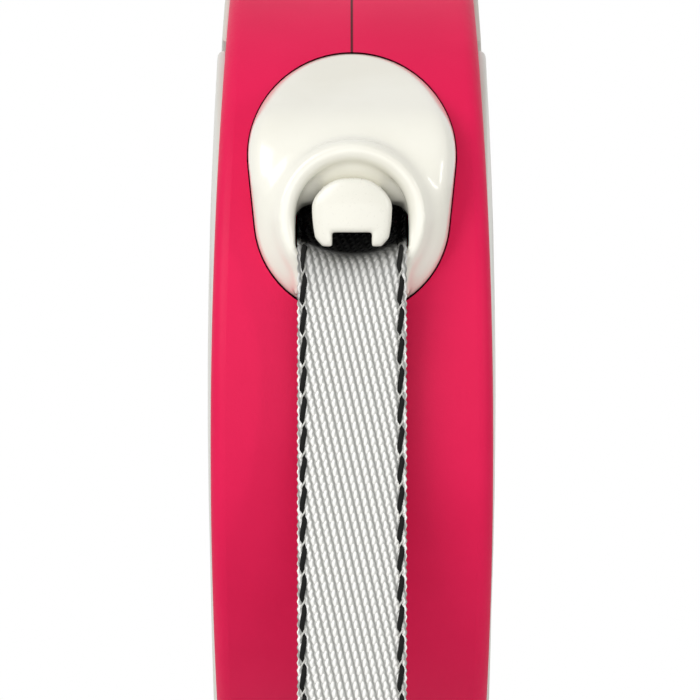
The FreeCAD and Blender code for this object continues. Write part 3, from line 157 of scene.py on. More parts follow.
def moulded_plastic(name, dark, light, roughness, grain, depth, coat=0.0):
    material, nodes, links, shader = new_material(name)
    tone = object_noise(nodes, links, scale=60.0, detail=3.0)
    links.new(shade_between(nodes, links, tone.outputs["Fac"], dark, light), shader.inputs["Base Color"])
    texture = object_noise(nodes, links, grain, detail=3.0)
    spread = nodes.new("ShaderNodeMapRange")
    spread.inputs["To Min"].default_value = roughness - 0.05
    spread.inputs["To Max"].default_value = roughness + 0.07
    links.new(texture.outputs["Fac"], spread.inputs["Value"])
    links.new(spread.outputs["Result"], shader.inputs["Roughness"])
    raise_surface(nodes, links, texture.outputs["Fac"], shader, distance=depth, strength=0.6)
    shader.inputs["Coat Weight"].default_value = coat
    shader.inputs["Coat Roughness"].default_value = 0.08
    return material


def dress(material, *names):
    for name in names:
        mesh = frame["nodes"][name].data
        mesh.materials.clear()
        mesh.materials.append(material)


red_plastic = moulded_plastic(
    "red_plastic", (0.72, 0.005, 0.073), (0.76, 0.007, 0.081),
    roughness=0.48, grain=5200.0, depth=0.00003)


def add_parting_line(material, half_width):
    """The shells meet on the middle line in a fine dark groove."""
    nodes, links = material.node_tree.nodes, material.node_tree.links
    base_colour = nodes["Principled BSDF"].inputs["Base Color"]
    split = nodes.new("ShaderNodeSeparateXYZ")
    links.new(object_place(nodes), split.inputs["Vector"])
    reach = combine(nodes, links, "ABSOLUTE", split.outputs["X"])
    unshaded_ungrooved = fade(nodes, links, reach, half_width * 0.6, half_width * 1.4, "LINEAR")
    colour = base_colour.links[0].from_socket
    links.new(darkened(nodes, links, colour, (0.07, 0.001, 0.006), unshaded_ungrooved), base_colour)


add_parting_line(red_plastic, 0.00017)
red_plastic.node_tree.nodes["Principled BSDF"].inputs["Specular IOR Level"].default_value = 0.2
dress(red_plastic, "housing_left", "housing_right")

# ------------------------------------------------------------ side covers and grip panels
# Pale grey covers snap into the round recess on each side, and panels of the same
# plastic line the handle.
reel_middle = next(joint["pos_m"] for joint in frame["joints"] if joint["name"] == "spool_turn")


def add_relief(material, height, distance, strength=1.0):
    """Puts a second, coarser relief under a material's grain."""
    nodes, links = material.node_tree.nodes, material.node_tree.links
    grain = nodes["Principled BSDF"].inputs["Normal"].links[0].from_node
    relief = nodes.new("ShaderNodeBump")
    relief.inputs["Distance"].default_value = distance
    relief.inputs["Strength"].default_value = strength
    links.new(height, relief.inputs["Height"])
    links.new(relief.outputs["Normal"], grain.inputs["Normal"])


def ring_grooves(material, radii, half_width, depth):
    """Round grooves about the reel's axis, turned into the mould of each cover."""
    nodes, links = material.node_tree.nodes, material.node_tree.links
    centred = nodes.new("ShaderNodeMapping")
    centred.inputs["Location"].default_value = (0.0, -reel_middle[1], -reel_middle[2])
    centred.inputs["Scale"].default_value = (0.0, 1.0, 1.0)
    links.new(object_place(nodes), centred.inputs["Vector"])
    reach = nodes.new("ShaderNodeVectorMath")
    reach.operation = "LENGTH"
    links.new(centred.outputs["Vector"], reach.inputs[0])
    height = 1.0
    for radius in radii:
        offset = combine(nodes, links, "SUBTRACT", reach.outputs["Value"], radius)
        apart = combine(nodes, links, "ABSOLUTE", offset)
        height = combine(nodes, links, "MINIMUM", fade(nodes, links, apart, 0.0, half_width), height)
    add_relief(material, height, depth)


grey_dark, grey_light = (0.655, 0.645, 0.58), (0.685, 0.675, 0.61)
cover_plastic = moulded_plastic(
    "cover_plastic", grey_dark, grey_light, roughness=0.32, grain=3000.0, depth=0.00002)
ring_grooves(cover_plastic, (0.0285, 0.0300, 0.0315), half_width=0.0005, depth=0.0004)
dress(cover_plastic, "side_cover_left", "side_cover_right")

panel_plastic = moulded_plastic(
    "panel_plastic", grey_dark, grey_light, roughness=0.42, grain=3000.0, depth=0.00002)
panel_nodes = panel_plastic.node_tree.nodes
pebbles = panel_nodes.new("ShaderNodeTexVoronoi")
pebbles.feature = "SMOOTH_F1"
pebbles.inputs["Scale"].default_value = 620.0
pebbles.inputs["Randomness"].default_value = 0.35
panel_plastic.node_tree.links.new(object_place(panel_nodes), pebbles.inputs["Vector"])
add_relief(panel_plastic, pebbles.outputs["Distance"], -0.00016, strength=0.6)
dress(panel_plastic, "grip_panel_left", "grip_panel_right")

# ------------------------------------------------------------ nozzle
# Ivory acetal bush clamped between the shells: a dome that flows into the raised funnel
# ring, and a saddle lip that the tape runs over. Moulded glossy, with soft edges all over.
ivory_plastic = moulded_plastic(
    "ivory_plastic", (0.82, 0.80, 0.70), (0.87, 0.855, 0.765),
    roughness=0.22, grain=900.0, depth=0.000006, coat=0.5)


def copy_of(node, name):
    """A closed, merged copy of a CAD piece, ready to be worked on in its own object."""
    piece = frame["nodes"][node].copy()
    piece.data = piece.data.copy()
    piece.name = name
    piece.parent = None
    bpy.context.collection.objects.link(piece)
    bpy.context.view_layer.objects.active = piece
    piece.select_set(True)
    bpy.ops.object.mode_set(mode="EDIT")
    bpy.ops.mesh.select_all(action="SELECT")
    bpy.ops.mesh.remove_doubles(threshold=0.000002)
    bpy.ops.mesh.normals_make_consistent(inside=False)
    bpy.ops.object.mode_set(mode="OBJECT")
    piece.select_set(False)
    return piece


def soften(piece, voxel, passes):
    """Melts a piece's edges into the soft radii of a polished mould."""
    bpy.context.view_layer.objects.active = piece
    remesh = piece.modifiers.new("skin", "REMESH")
    remesh.mode = "VOXEL"
    remesh.voxel_size = voxel
    remesh.use_smooth_shade = True
    smooth = piece.modifiers.new("melt", "SMOOTH")
    smooth.factor = 0.5
    smooth.iterations = passes
    bpy.ops.object.modifier_apply(modifier="skin")
    bpy.ops.object.modifier_apply(modifier="melt")


def finish_piece(piece, body, node, material):
    piece.data.materials.clear()
    piece.data.materials.append(material)
    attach(piece, body)
    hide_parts(node)


def keep_side(point, normal):
    """Cuts the piece in edit mode at a plane and closes the cut."""
    bpy.ops.mesh.select_all(action="SELECT")
    bpy.ops.mesh.bisect(plane_co=point, plane_no=normal, clear_outer=True, use_fill=True)


def keep_width(half_width):
    """Cuts the piece in edit mode to a width about the middle plane."""
    for side in (1.0, -1.0):
        keep_side((side * half_width, 0.0, 0.0), (side, 0.0, 0.0))


def add_torus(radius, tube_radius, place, tilt=0.0, segments=128, tube_segments=32):
    """A torus that faces the front, in the part's own coordinates."""
    bpy.ops.mesh.primitive_torus_add(
        major_radius=radius, minor_radius=tube_radius, major_segments=segments,
        minor_segments=tube_segments, location=place, rotation=(pi / 2.0 + tilt, 0.0, 0.0))
    bpy.ops.object.transform_apply(location=True, rotation=True, scale=True)
    return bpy.context.active_object


def join_to(piece, other):
    bpy.ops.object.select_all(action="DESELECT")
    other.select_set(True)
    piece.select_set(True)
    bpy.context.view_layer.objects.active = piece
    bpy.ops.object.join()
    piece.select_set(False)


def paint_throat_shade(material, front, back, side, top):
    """Painted shade: the bush's slot behind its rim is coloured near black, where shade falls deep inside
    it.
    """
    side_fade, top_fade = 0.0003, 0.0016
    nodes, links = material.node_tree.nodes, material.node_tree.links
    base_colour = nodes["Principled BSDF"].inputs["Base Color"]
    split = nodes.new("ShaderNodeSeparateXYZ")
    links.new(object_place(nodes), split.inputs["Vector"])
    reach = combine(nodes, links, "ABSOLUTE", split.outputs["X"])
    unshaded_ungrooved = 0.0
    for value, dark_end, light_end in (
            (split.outputs["Y"], back, front), (reach, side, side + side_fade),
            (split.outputs["Z"], top, top + top_fade)):
        unshaded_ungrooved = combine(nodes, links, "MAXIMUM", fade(nodes, links, value, dark_end, light_end), unshaded_ungrooved)
    colour = base_colour.links[0].from_socket
    links.new(darkened(nodes, links, colour, (0.008, 0.008, 0.007), unshaded_ungrooved), base_colour)


# Painted shade: the ivory turns near black inside the slot behind the rim.
paint_throat_shade(ivory_plastic, front=-0.1612, back=-0.1580, side=0.0080, top=0.0226)
nozzle = copy_of("outlet_nozzle", "nozzle_bush")

# The funnel's rounded rim and the slope inside it melt into the bush.
ring_middle = 0.0208
ring_radius = 0.0108
ring_round = 0.0016
ring_front = -0.16465
join_to(nozzle, add_torus(ring_radius - ring_round, ring_round, (0.0, ring_front + ring_round, ring_middle)))
bowl_middle, bowl_low = (0.0, -0.1568, ring_middle + 0.0011), 0.0229
bowl = add_torus(0.0072, 0.0024, bowl_middle, tilt=radians(32.0))
bpy.ops.object.mode_set(mode="EDIT")
keep_side((0.0, 0.0, bowl_low), (0.0, 0.0, -1.0))
bpy.ops.object.mode_set(mode="OBJECT")
join_to(nozzle, bowl)
soften(nozzle, voxel=0.00026, passes=2)

# The slot under the rim: its floor sags like the tape, and a rounded saddle ends it.
lip_top, lip_front, lip_round = 0.01460, -0.1646, 0.0020
lip_sag = 0.0151
lip_half = 0.0078
throat_half = 0.00772
throat_top, throat_middle, throat_length = ring_middle - 0.0005, -0.1610, 0.012
bpy.ops.mesh.primitive_cylinder_add(
    vertices=160, radius=lip_sag, depth=throat_length,
    location=(0.0, throat_middle, lip_top + lip_sag), rotation=(pi / 2.0, 0.0, 0.0))
passage = bpy.context.active_object
bpy.ops.object.transform_apply(location=True, rotation=True, scale=True)
bpy.ops.object.mode_set(mode="EDIT")
keep_width(throat_half)
keep_side((0.0, 0.0, throat_top), (0.0, 0.0, 1.0))
bpy.ops.object.mode_set(mode="OBJECT")
passage.select_set(False)
bpy.context.view_layer.objects.active = nozzle
cut = nozzle.modifiers.new("passage", "BOOLEAN")
cut.operation = "DIFFERENCE"
cut.solver = "EXACT"
cut.object = passage
bpy.ops.object.modifier_apply(modifier="passage")
bpy.data.objects.remove(passage)

saddle = add_torus(
    lip_sag + lip_round, lip_round, (0.0, lip_front + lip_round, lip_top + lip_sag),
    segments=96, tube_segments=20)
bpy.ops.object.mode_set(mode="EDIT")
keep_width(lip_half)
keep_side((0.0, 0.0, lip_top + lip_sag), (0.0, 0.0, 1.0))
bpy.ops.object.mode_set(mode="OBJECT")
join_to(nozzle, saddle)
soften(nozzle, voxel=0.00026, passes=16)

# The dome above the ring and the root of the ring are faired, each in its own region.
dome = nozzle.vertex_groups.new(name="dome")
ring_outside = 0.0114
dome_middle, dome_radius, dome_edge, dome_back = 0.0294, 0.0130, 0.0035, -0.1400
for vertex in nozzle.data.vertices:
    ring_reach = Vector((vertex.co.x, vertex.co.z - ring_middle)).length
    dome_reach = Vector((vertex.co.x, max(0.0, vertex.co.z - dome_middle))).length
    over_ring = vertex.co.z > ring_middle and ring_reach > ring_outside
    if vertex.co.y < dome_back and over_ring and dome_reach < dome_radius:
        dome.add([vertex.index], min(1.0, (dome_radius - dome_reach) / dome_edge), "REPLACE")
blend = nozzle.modifiers.new("blend", "SMOOTH")
blend.vertex_group = "dome"
blend.factor = 0.5
blend.iterations = 500
bpy.context.view_layer.objects.active = nozzle
bpy.ops.object.modifier_apply(modifier="blend")
root = nozzle.vertex_groups.new(name="root")
root_inside, root_outside, root_back = 0.0100, 0.0128, -0.1560
root.add([
    vertex.index for vertex in nozzle.data.vertices
    if vertex.co.y < root_back and abs(vertex.co.x) < dome_radius
    and root_inside ** 2 < vertex.co.x ** 2 + (vertex.co.z - ring_middle) ** 2 < root_outside ** 2
], 1.0, "REPLACE")
fair = nozzle.modifiers.new("fair", "SMOOTH")
fair.vertex_group = "root"
fair.factor = 0.5
fair.iterations = 120
bpy.ops.object.modifier_apply(modifier="fair")
nozzle.vertex_groups.clear()
finish_piece(nozzle, "housing", "outlet_nozzle", ivory_plastic)

# ------------------------------------------------------------ tape guide
# Ivory knob over the tape, moulded with two short legs that hold the tape's edges down.
guide = copy_of("tape_guide", "guide_knob")
soften(guide, voxel=0.00016, passes=18)
knob_middle, knob_half = 0.0222, 0.00545
knob_rise, leg_drop = 0.0040, 0.0053
face_back, face_depth = -0.1640, 0.0025
side_bulge, top_bulge = 0.0008, 0.0007
crown, taper = 0.30, 0.13
for vertex in guide.data.vertices:
    across = min(1.0, abs(vertex.co.x) / knob_half)
    above = max(0.0, vertex.co.z - knob_middle)
    below = max(0.0, knob_middle - vertex.co.z)
    front = max(0.0, min(1.0, (face_back - vertex.co.y) / face_depth))
    vertex.co.z -= above * crown * across ** 2
    vertex.co.x *= 1.0 - taper * (below / leg_drop) ** 2
    vertex.co.y += front * (side_bulge * across ** 2 + top_bulge * (above / knob_rise) ** 2)
guide_plastic = moulded_plastic(
    "guide_plastic", (0.79, 0.775, 0.685), (0.83, 0.815, 0.725),
    roughness=0.28, grain=2600.0, depth=0.000004, coat=0.2)
finish_piece(guide, "housing", "tape_guide", guide_plastic)

# ------------------------------------------------------------ reel
# Black nylon drum and its loose flange, with the spring case clipped to one side. They
# turn as one on the axle, and hold the wound tape between them.
black_plastic = moulded_plastic(
    "black_plastic", (0.016, 0.016, 0.018), (0.030, 0.030, 0.033),
    roughness=0.42, grain=2600.0, depth=0.00003)
dress(black_plastic, "spool", "spool_flange")
dark_plastic = moulded_plastic(
    "dark_plastic", (0.040, 0.040, 0.045), (0.062, 0.062, 0.068),
    roughness=0.5, grain=4200.0, depth=0.00004)
dress(dark_plastic, "spring_case")


# ------------------------------------------------------------ springs
# Blued spring strip coiled in its case, and two small compression springs of the same
# wire steel under the button and behind the hook's bolt.
def drawn_metal(name, dark, light, roughness, grain, depth):
    material, nodes, links, shader = new_material(name)
    stretch = nodes.new("ShaderNodeMapping")
    stretch.inputs["Scale"].default_value = grain
    links.new(object_place(nodes), stretch.inputs["Vector"])
    streak = nodes.new("ShaderNodeTexNoise")
    streak.inputs["Scale"].default_value = 1.0
    streak.inputs["Detail"].default_value = 4.0
    links.new(stretch.outputs["Vector"], streak.inputs["Vector"])
    links.new(shade_between(nodes, links, streak.outputs["Fac"], dark, light), shader.inputs["Base Color"])
    shader.inputs["Metallic"].default_value = 1.0
    spread = nodes.new("ShaderNodeMapRange")
    spread.inputs["To Min"].default_value = roughness - 0.04
    spread.inputs["To Max"].default_value = roughness + 0.08
    links.new(streak.outputs["Fac"], spread.inputs["Value"])
    links.new(spread.outputs["Result"], shader.inputs["Roughness"])
    raise_surface(nodes, links, streak.outputs["Fac"], shader, distance=depth, strength=0.5)
    return material


spring_steel = drawn_metal(
    "spring_steel", (0.20, 0.22, 0.27), (0.36, 0.37, 0.40),
    roughness=0.3, grain=(200.0, 1400.0, 1400.0), depth=0.000004)
dress(spring_steel, "power_spring", "brake_spring", "hook_spring")

# ------------------------------------------------------------ axle and screws
# Turned steel: the axle, its two washers, the pawl's pin and the five housing screws,
# bright with fine turning marks across them.
steel = drawn_metal(
    "steel", (0.45, 0.45, 0.46), (0.62, 0.62, 0.63),
    roughness=0.3, grain=(3600.0, 500.0, 500.0), depth=0.000008)
dress(steel, "spool_axle", "axle_washers", "housing_screws", "pawl_pin")

# ------------------------------------------------------------ brake
# Grey ribbed thumb button in the top of the housing, the black pawl that it pushes into
# the ratchet, and the black slide behind it that locks it down.
button_plastic = moulded_plastic(
    "button_plastic", grey_dark, grey_light, roughness=0.38, grain=3000.0, depth=0.00002)
button_nodes = button_plastic.node_tree.nodes
ribs = button_nodes.new("ShaderNodeTexWave")
ribs.bands_direction = "Y"
rib_pitch = 0.0021
ribs.inputs["Scale"].default_value = pi / (10.0 * rib_pitch)
button_plastic.node_tree.links.new(object_place(button_nodes), ribs.inputs["Vector"])
add_relief(button_plastic, ribs.outputs["Fac"], 0.0003)
dress(button_plastic, "brake_button")
dress(dark_plastic, "brake_pawl", "brake_lock")

# ------------------------------------------------------------ tape
# Woven polyester tape, 15 mm wide, in an off-white twill, with a two-ply black and
# white cord down each edge and a looped selvedge outside it.
tape_width = 0.015
tape_thickness = 0.0008
# Control points of the tape's middle line as y and z: from the lip down to the stopper,
# and from the reel forward to the lip.
hanging_route = [
    (-0.16125, 0.01540),
    (-0.16590, 0.01490),
    (-0.16560, 0.00500),
    (-0.16545, -0.0090),
    (-0.16570, -0.0370),
    (-0.16550, -0.0790),
]
lead_route = [
    (-0.12280, 0.03320),
    (-0.12850, 0.03070),
    (-0.13750, 0.02350),
    (-0.14800, 0.01530),
    (-0.15500, 0.01580),
    (-0.16125, 0.01540),
]


def points_along(route):
    """Close points on a smooth curve in the middle plane."""
    curve = bpy.data.curves.new("route", "CURVE")
    curve.dimensions = "3D"
    curve.resolution_u = 60
    spline = curve.splines.new("NURBS")
    spline.points.add(len(route) - 1)
    for point, (y, z) in zip(spline.points, route):
        point.co = (0.0, y, z, 1.0)
    spline.order_u = 3
    spline.use_endpoint_u = True
    bare = bpy.data.objects.new("route", curve)
    bpy.context.collection.objects.link(bare)
    bpy.context.view_layer.update()
    mesh = bpy.data.meshes.new_from_object(bare)
    points = [vertex.co.copy() for vertex in mesh.vertices]
    bpy.data.objects.remove(bare)
    bpy.data.meshes.remove(mesh)
    return points


def evenly(points, step):
    """Points a step apart along a line, each with its distance and direction."""
    length = sum((b - a).length for a, b in zip(points, points[1:]))
    count = round(length / step)
    step = length / count
    found, done, index = [], 0.0, 0
    for number in range(count + 1):
        target = min(number * step, length - 1e-9)
        while done + (points[index + 1] - points[index]).length < target:
            done += (points[index + 1] - points[index]).length
            index += 1
        run = points[index + 1] - points[index]
        found.append((points[index] + run.normalized() * (target - done), number * step, run.normalized()))
    return found, length


def trough(distance):
    """How far the middle of the tape sags below its edges: most in the throat. The
    distance is from the lip, and negative behind it."""
    deepest, fades_over = 0.0024, 0.0075
    full_until, full_from, slower = 0.0015, -0.012, 0.35
    far = distance - full_until if distance > 0.0 else (full_from - distance) * slower
    rise = min(1.0, max(0.0, 1.0 - far / fades_over))
    return deepest * rise * rise * (3.0 - 2.0 * rise)


def add_strip(vertices, faces, places, start):
    """The woven strip: a looped selvedge at its sides and a hollow under each edge cord."""
    half, skin = tape_width / 2.0, tape_thickness / 2.0
    loop_pitch, loop_depth = 0.00104, 0.00016
    hollow_at, hollow_width, hollow_share = 0.885, 0.055, 0.95
    edge_loss = 0.6
    right = [0.0, 0.2, 0.4, 0.6, 0.72, 0.79, 0.84, 0.885, 0.93, 0.965, 1.0]
    columns = [-place for place in reversed(right[1:])] + right
    row = [(column, 1.0) for column in columns] + [(column, -1.0) for column in reversed(columns)]
    for place, distance, along in places:
        out = Vector((0.0, along.z, -along.y))
        loop = 0.5 + 0.5 * cos(2.0 * pi * distance / loop_pitch)
        base = len(vertices)
        for across, side in row:
            edge = half - loop_depth * loop
            hollow = hollow_share * exp(-((abs(across) - hollow_at) / hollow_width) ** 2)
            lift = skin * side * (1.0 - abs(across) ** 12 * edge_loss) * (1.0 - hollow)
            rise = trough(distance + start) * across * across
            spot = place + Vector((across * edge, 0.0, 0.0)) + out * (lift + rise)
            vertices.append((spot, (across * half, distance + start)))
        if base:
            count = len(row)
            low = base - count
            for corner in range(count):
                after = (corner + 1) % count
                faces.append((low + corner, low + after, base + after, base + corner, 0))


def paint_nozzle_shade(nodes, links, along, colour):
    """Painted shade: the tape's colour darkens to near black where it runs into the nozzle's shade; along is
    in mm.
    """
    black_at, unshaded_at = -3.0, 9.5
    unshaded_ungrooved = fade(nodes, links, along, black_at, unshaded_at)
    return darkened(nodes, links, colour, (0.012, 0.012, 0.011), unshaded_ungrooved)


def weave_material():
    """Off-white twill: upright floats in columns a pitch apart that drift to the right."""
    material, nodes, links, shader = new_material("tape_weave")
    layout = nodes.new("ShaderNodeUVMap")
    split = nodes.new("ShaderNodeSeparateXYZ")
    links.new(layout.outputs["UV"], split.inputs["Vector"])
    pitch, drift = 1.04, -0.2375
    lean, half_wide, half_tall = 0.31, 0.29, 0.67
    ground_level, ground_curve, fuzz = 0.32, -1.3, 0.12

    def work(operation, *values):
        return combine(nodes, links, operation, *values)

    across, along = split.outputs["X"], split.outputs["Y"]
    row = work("DIVIDE", along, pitch)
    column = work("DIVIDE", work("MULTIPLY_ADD", along, drift, across), pitch)
    in_row = work("SUBTRACT", work("FRACT", row), 0.5)
    in_column = work("SUBTRACT", work("FRACT", column), 0.5)

    def grain(row_place):
        """One float: an upright oval cushion that leans over its row."""
        leaning = work("MULTIPLY_ADD", row_place, lean, in_column)
        wide = work("DIVIDE", leaning, half_wide)
        tall = work("DIVIDE", row_place, half_tall)
        square = work("ADD", work("MULTIPLY", wide, wide), work("MULTIPLY", tall, tall))
        return work("SQRT", work("MAXIMUM", work("SUBTRACT", 1.0, square), 0.0))

    next_row = work("SUBTRACT", in_row, work("SIGN", in_row))
    float_height = work("MAXIMUM", grain(in_row), grain(next_row))
    fibre = nodes.new("ShaderNodeTexNoise")
    fibre.inputs["Scale"].default_value = 1.0
    stretch = nodes.new("ShaderNodeMapping")
    stretch.inputs["Scale"].default_value = (14.0, 2.5, 1.0)
    links.new(layout.outputs["UV"], stretch.inputs["Vector"])
    links.new(stretch.outputs["Vector"], fibre.inputs["Vector"])
    ground = work("MULTIPLY_ADD", work("MULTIPLY", in_column, in_column), ground_curve, ground_level)
    ridge = work("MAXIMUM", float_height, ground)
    height = work("MULTIPLY_ADD", fibre.outputs["Fac"], fuzz, ridge)
    # Painted shade: the colour runs from off-white on the floats to near black down in the gaps between
    # them.
    colour = shade_between(
        nodes, links, height, (0.14, 0.145, 0.13), (0.98, 0.975, 0.94), low=0.0, high=0.60)
    # Painted shade: the weave turns near black where it runs into the nozzle.
    links.new(paint_nozzle_shade(nodes, links, along, colour), shader.inputs["Base Color"])
    shader.inputs["Roughness"].default_value = 0.42
    shader.inputs["Sheen Weight"].default_value = 0.15
    raise_surface(nodes, links, height, shader, distance=0.00028, strength=0.9)
    return material


def strand_material(name, dark, light):
    material, nodes, links, shader = new_material(name)
    layout = nodes.new("ShaderNodeUVMap")
    wave = nodes.new("ShaderNodeTexWave")
    wave.bands_direction = "DIAGONAL"
    wave.inputs["Scale"].default_value = 3.0
    wave.inputs["Distortion"].default_value = 2.0
    links.new(layout.outputs["UV"], wave.inputs["Vector"])
    split = nodes.new("ShaderNodeSeparateXYZ")
    links.new(layout.outputs["UV"], split.inputs["Vector"])
    colour = shade_between(nodes, links, wave.outputs["Fac"], dark, light, low=0.2, high=0.9)
    # Painted shade: the cords turn near black where they run into the nozzle.
    links.new(paint_nozzle_shade(nodes, links, split.outputs["Y"], colour), shader.inputs["Base Color"])
    shader.inputs["Roughness"].default_value = 0.6
    shader.inputs["Specular IOR Level"].default_value = 0.15
    raise_surface(nodes, links, wave.outputs["Fac"], shader, distance=0.00006, strength=0.6)
    return material


def add_strand(vertices, faces, places, start, side, phase, slot, ply_radius, wind_radius):
    """One ply of an edge cord, wound round the cord's own line."""
    lay_length, cord_inset, uneven = 0.00405, 0.00086, 0.5
    middle = side * (tape_width / 2.0 - cord_inset)
    corners = 8
    for number, (place, distance, along) in enumerate(places):
        out = Vector((0.0, along.z, -along.y))
        lay = 2.0 * pi * (distance + start) / lay_length
        turn = lay - uneven * cos(lay) + phase
        rise = trough(distance + start) * (middle / (tape_width / 2.0)) ** 2
        centre = place + Vector((middle + wind_radius * cos(turn), 0.0, 0.0))
        centre += out * (wind_radius * sin(turn) + rise)
        base = len(vertices)
        for corner in range(corners):
            angle = 2.0 * pi * corner / corners
            spot = centre + Vector((ply_radius * cos(angle), 0.0, 0.0)) + out * (ply_radius * sin(angle))
            vertices.append((spot, (ply_radius * angle, distance + start)))
        if number:
            for corner in range(corners):
                after = (corner + 1) % corners
                low = base - corners
                faces.append((low + corner, low + after, base + after, base + corner, slot))


def tape_piece(name, places, start, materials):
    """A stretch of the tape with its two edge cords, laid along a line of places."""
    vertices, faces = [], []
    add_strip(vertices, faces, places, start)
    for side in (-1.0, 1.0):
        add_strand(vertices, faces, places, start, side, pi, 1, ply_radius=0.00038, wind_radius=0.00021)
        add_strand(vertices, faces, places, start, side, 0.0, 2, ply_radius=0.00014, wind_radius=0.00030)
    mesh = bpy.data.meshes.new(name)
    mesh.from_pydata([spot for spot, layout in vertices], [], [face[:4] for face in faces])
    for material in materials:
        mesh.materials.append(material)
    for polygon, face in zip(mesh.polygons, faces):
        polygon.material_index = face[4]
        polygon.use_smooth = True
    layer = mesh.uv_layers.new(name="tape")
    for loop in mesh.loops:
        across, distance = vertices[loop.vertex_index][1]
        layer.data[loop.index].uv = (across * 1000.0, distance * 1000.0)
    tape = bpy.data.objects.new(name, mesh)
    bpy.context.collection.objects.link(tape)
    close_ends(tape)
    return tape


def close_ends(tape):
    """Caps the open ends of the strip and of its cords."""
    bpy.context.view_layer.objects.active = tape
    tape.select_set(True)
    bpy.ops.object.mode_set(mode="EDIT")
    bpy.ops.mesh.select_all(action="DESELECT")
    bpy.ops.mesh.select_non_manifold(extend=False)
    bpy.ops.mesh.fill_holes(sides=0)
    bpy.ops.mesh.select_all(action="SELECT")
    bpy.ops.mesh.normals_make_consistent(inside=False)
    bpy.ops.object.mode_set(mode="OBJECT")
    tape.select_set(False)


tape_materials = [
    weave_material(),
    strand_material("cord_black", (0.002, 0.002, 0.002), (0.014, 0.014, 0.013)),
    strand_material("cord_white", (0.50, 0.50, 0.46), (0.80, 0.79, 0.75)),
]
hanging, hanging_length = evenly(points_along(hanging_route), step=0.00013)
leash_tape = tape_piece("woven_tape", hanging, 0.0, tape_materials)
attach(leash_tape, "housing")
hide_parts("leash_tape")
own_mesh(leash_tape)

lead, lead_length = evenly(points_along(lead_route), step=0.00026)
lead_tape = tape_piece("woven_lead", lead, -lead_length, tape_materials)
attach(lead_tape, "housing")
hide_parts("tape_lead")


# ------------------------------------------------------------ winding
# The rest of the tape, wound on the drum: its edges show as fine rings between the
# flanges, and its outer turn as cloth.
def wound_material(layer):
    material, nodes, links, shader = new_material("tape_wound")
    centred = nodes.new("ShaderNodeMapping")
    centred.inputs["Location"].default_value = (0.0, -reel_middle[1], -reel_middle[2])
    links.new(object_place(nodes), centred.inputs["Vector"])
    turns = nodes.new("ShaderNodeTexWave")
    turns.wave_type = "RINGS"
    turns.rings_direction = "X"
    turns.inputs["Scale"].default_value = pi / (10.0 * layer)
    turns.inputs["Distortion"].default_value = 0.4
    links.new(centred.outputs["Vector"], turns.inputs["Vector"])
    cloth = object_noise(nodes, links, scale=1500.0, detail=3.0)
    height = combine(nodes, links, "MULTIPLY_ADD", cloth.outputs["Fac"], 0.4, turns.outputs["Fac"])
    colour = shade_between(
        nodes, links, height, (0.20, 0.20, 0.18), (0.82, 0.81, 0.77), low=0.1, high=1.1)
    links.new(colour, shader.inputs["Base Color"])
    shader.inputs["Roughness"].default_value = 0.7
    raise_surface(nodes, links, height, shader, distance=0.0002, strength=0.7)
    return material


dress(wound_material(layer=0.00085), "tape_winding")

# ------------------------------------------------------------ stitched loop
# The tape's end goes through the stopper, round the ring's bar and back beside itself,
# and a zigzag bar tack holds the two layers together.
end_y, end_z = hanging_route[-1]
layer_gap = 0.0005
fold_radius = 0.00303
bar_z = end_z - 0.0219
fold_side, fold_end = fold_radius * cos(pi / 8.0), fold_radius * sin(pi / 8.0)
down = [(-layer_gap, end_z - 0.0003), (-layer_gap, end_z - 0.0140), (-layer_gap, end_z - 0.0172),
        (-0.0007, end_z - 0.0186), (-fold_side, bar_z + fold_end), (-fold_side, bar_z - fold_end),
        (-fold_end, bar_z - fold_side)]
loop_route = [(end_y + y, z) for y, z in down] + [(end_y - y, z) for y, z in reversed(down)]
loop_line = evenly(points_along(loop_route), step=0.00016)[0]
loop_start = 0.097
loop = tape_piece("woven_loop", loop_line, loop_start, tape_materials)
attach(loop, "tape_end")
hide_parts("tape_loop")

thread_radius = 0.00017
tack_half, tack_swing, tack_out, tack_z = 0.0062, 0.0009, 0.00098, end_z - 0.0160
tack = bpy.data.curves.new("bar_tack", "CURVE")
tack.dimensions = "3D"
tack.bevel_depth = thread_radius
tack.bevel_resolution = 2
tack.use_fill_caps = True
for face in (-1.0, 1.0):
    stitches = tack.splines.new("POLY")
    count = 27
    stitches.points.add(count - 1)
    for number, point in enumerate(stitches.points):
        across = -tack_half + 2.0 * tack_half * number / (count - 1)
        swing = tack_swing if number % 2 else -tack_swing
        point.co = (across, end_y + face * tack_out, tack_z + swing, 1.0)
bar_tack = bpy.data.objects.new("bar_tack", tack)
bpy.context.collection.objects.link(bar_tack)
bpy.context.view_layer.objects.active = bar_tack
bar_tack.select_set(True)
bpy.ops.object.convert(target="MESH")
bar_tack = bpy.context.active_object
bar_tack.select_set(False)
thread = moulded_plastic(
    "tack_thread", (0.60, 0.60, 0.56), (0.85, 0.84, 0.80),
    roughness=0.6, grain=4000.0, depth=0.00005)
bar_tack.data.materials.append(thread)
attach(bar_tack, "tape_end")

# ------------------------------------------------------------ stopper
# Black moulded sleeve over the doubled tape: it meets the nozzle when the tape is in.
stopper_plastic = moulded_plastic(
    "stopper_plastic", (0.022, 0.022, 0.024), (0.036, 0.036, 0.040),
    roughness=0.36, grain=1800.0, depth=0.00004)
dress(stopper_plastic, "tape_stopper")

# ------------------------------------------------------------ swivel hook
# Die-cast zinc ring, hook and bolt, barrel-polished and chromed, with the soft orange
# peel that plating leaves.
zinc_chrome = drawn_metal(
    "zinc_chrome", (0.56, 0.56, 0.57), (0.64, 0.64, 0.65),
    roughness=0.12, grain=(150.0, 150.0, 150.0), depth=0.00001)
dress(zinc_chrome, "swivel_ring", "hook_body", "hook_bolt")

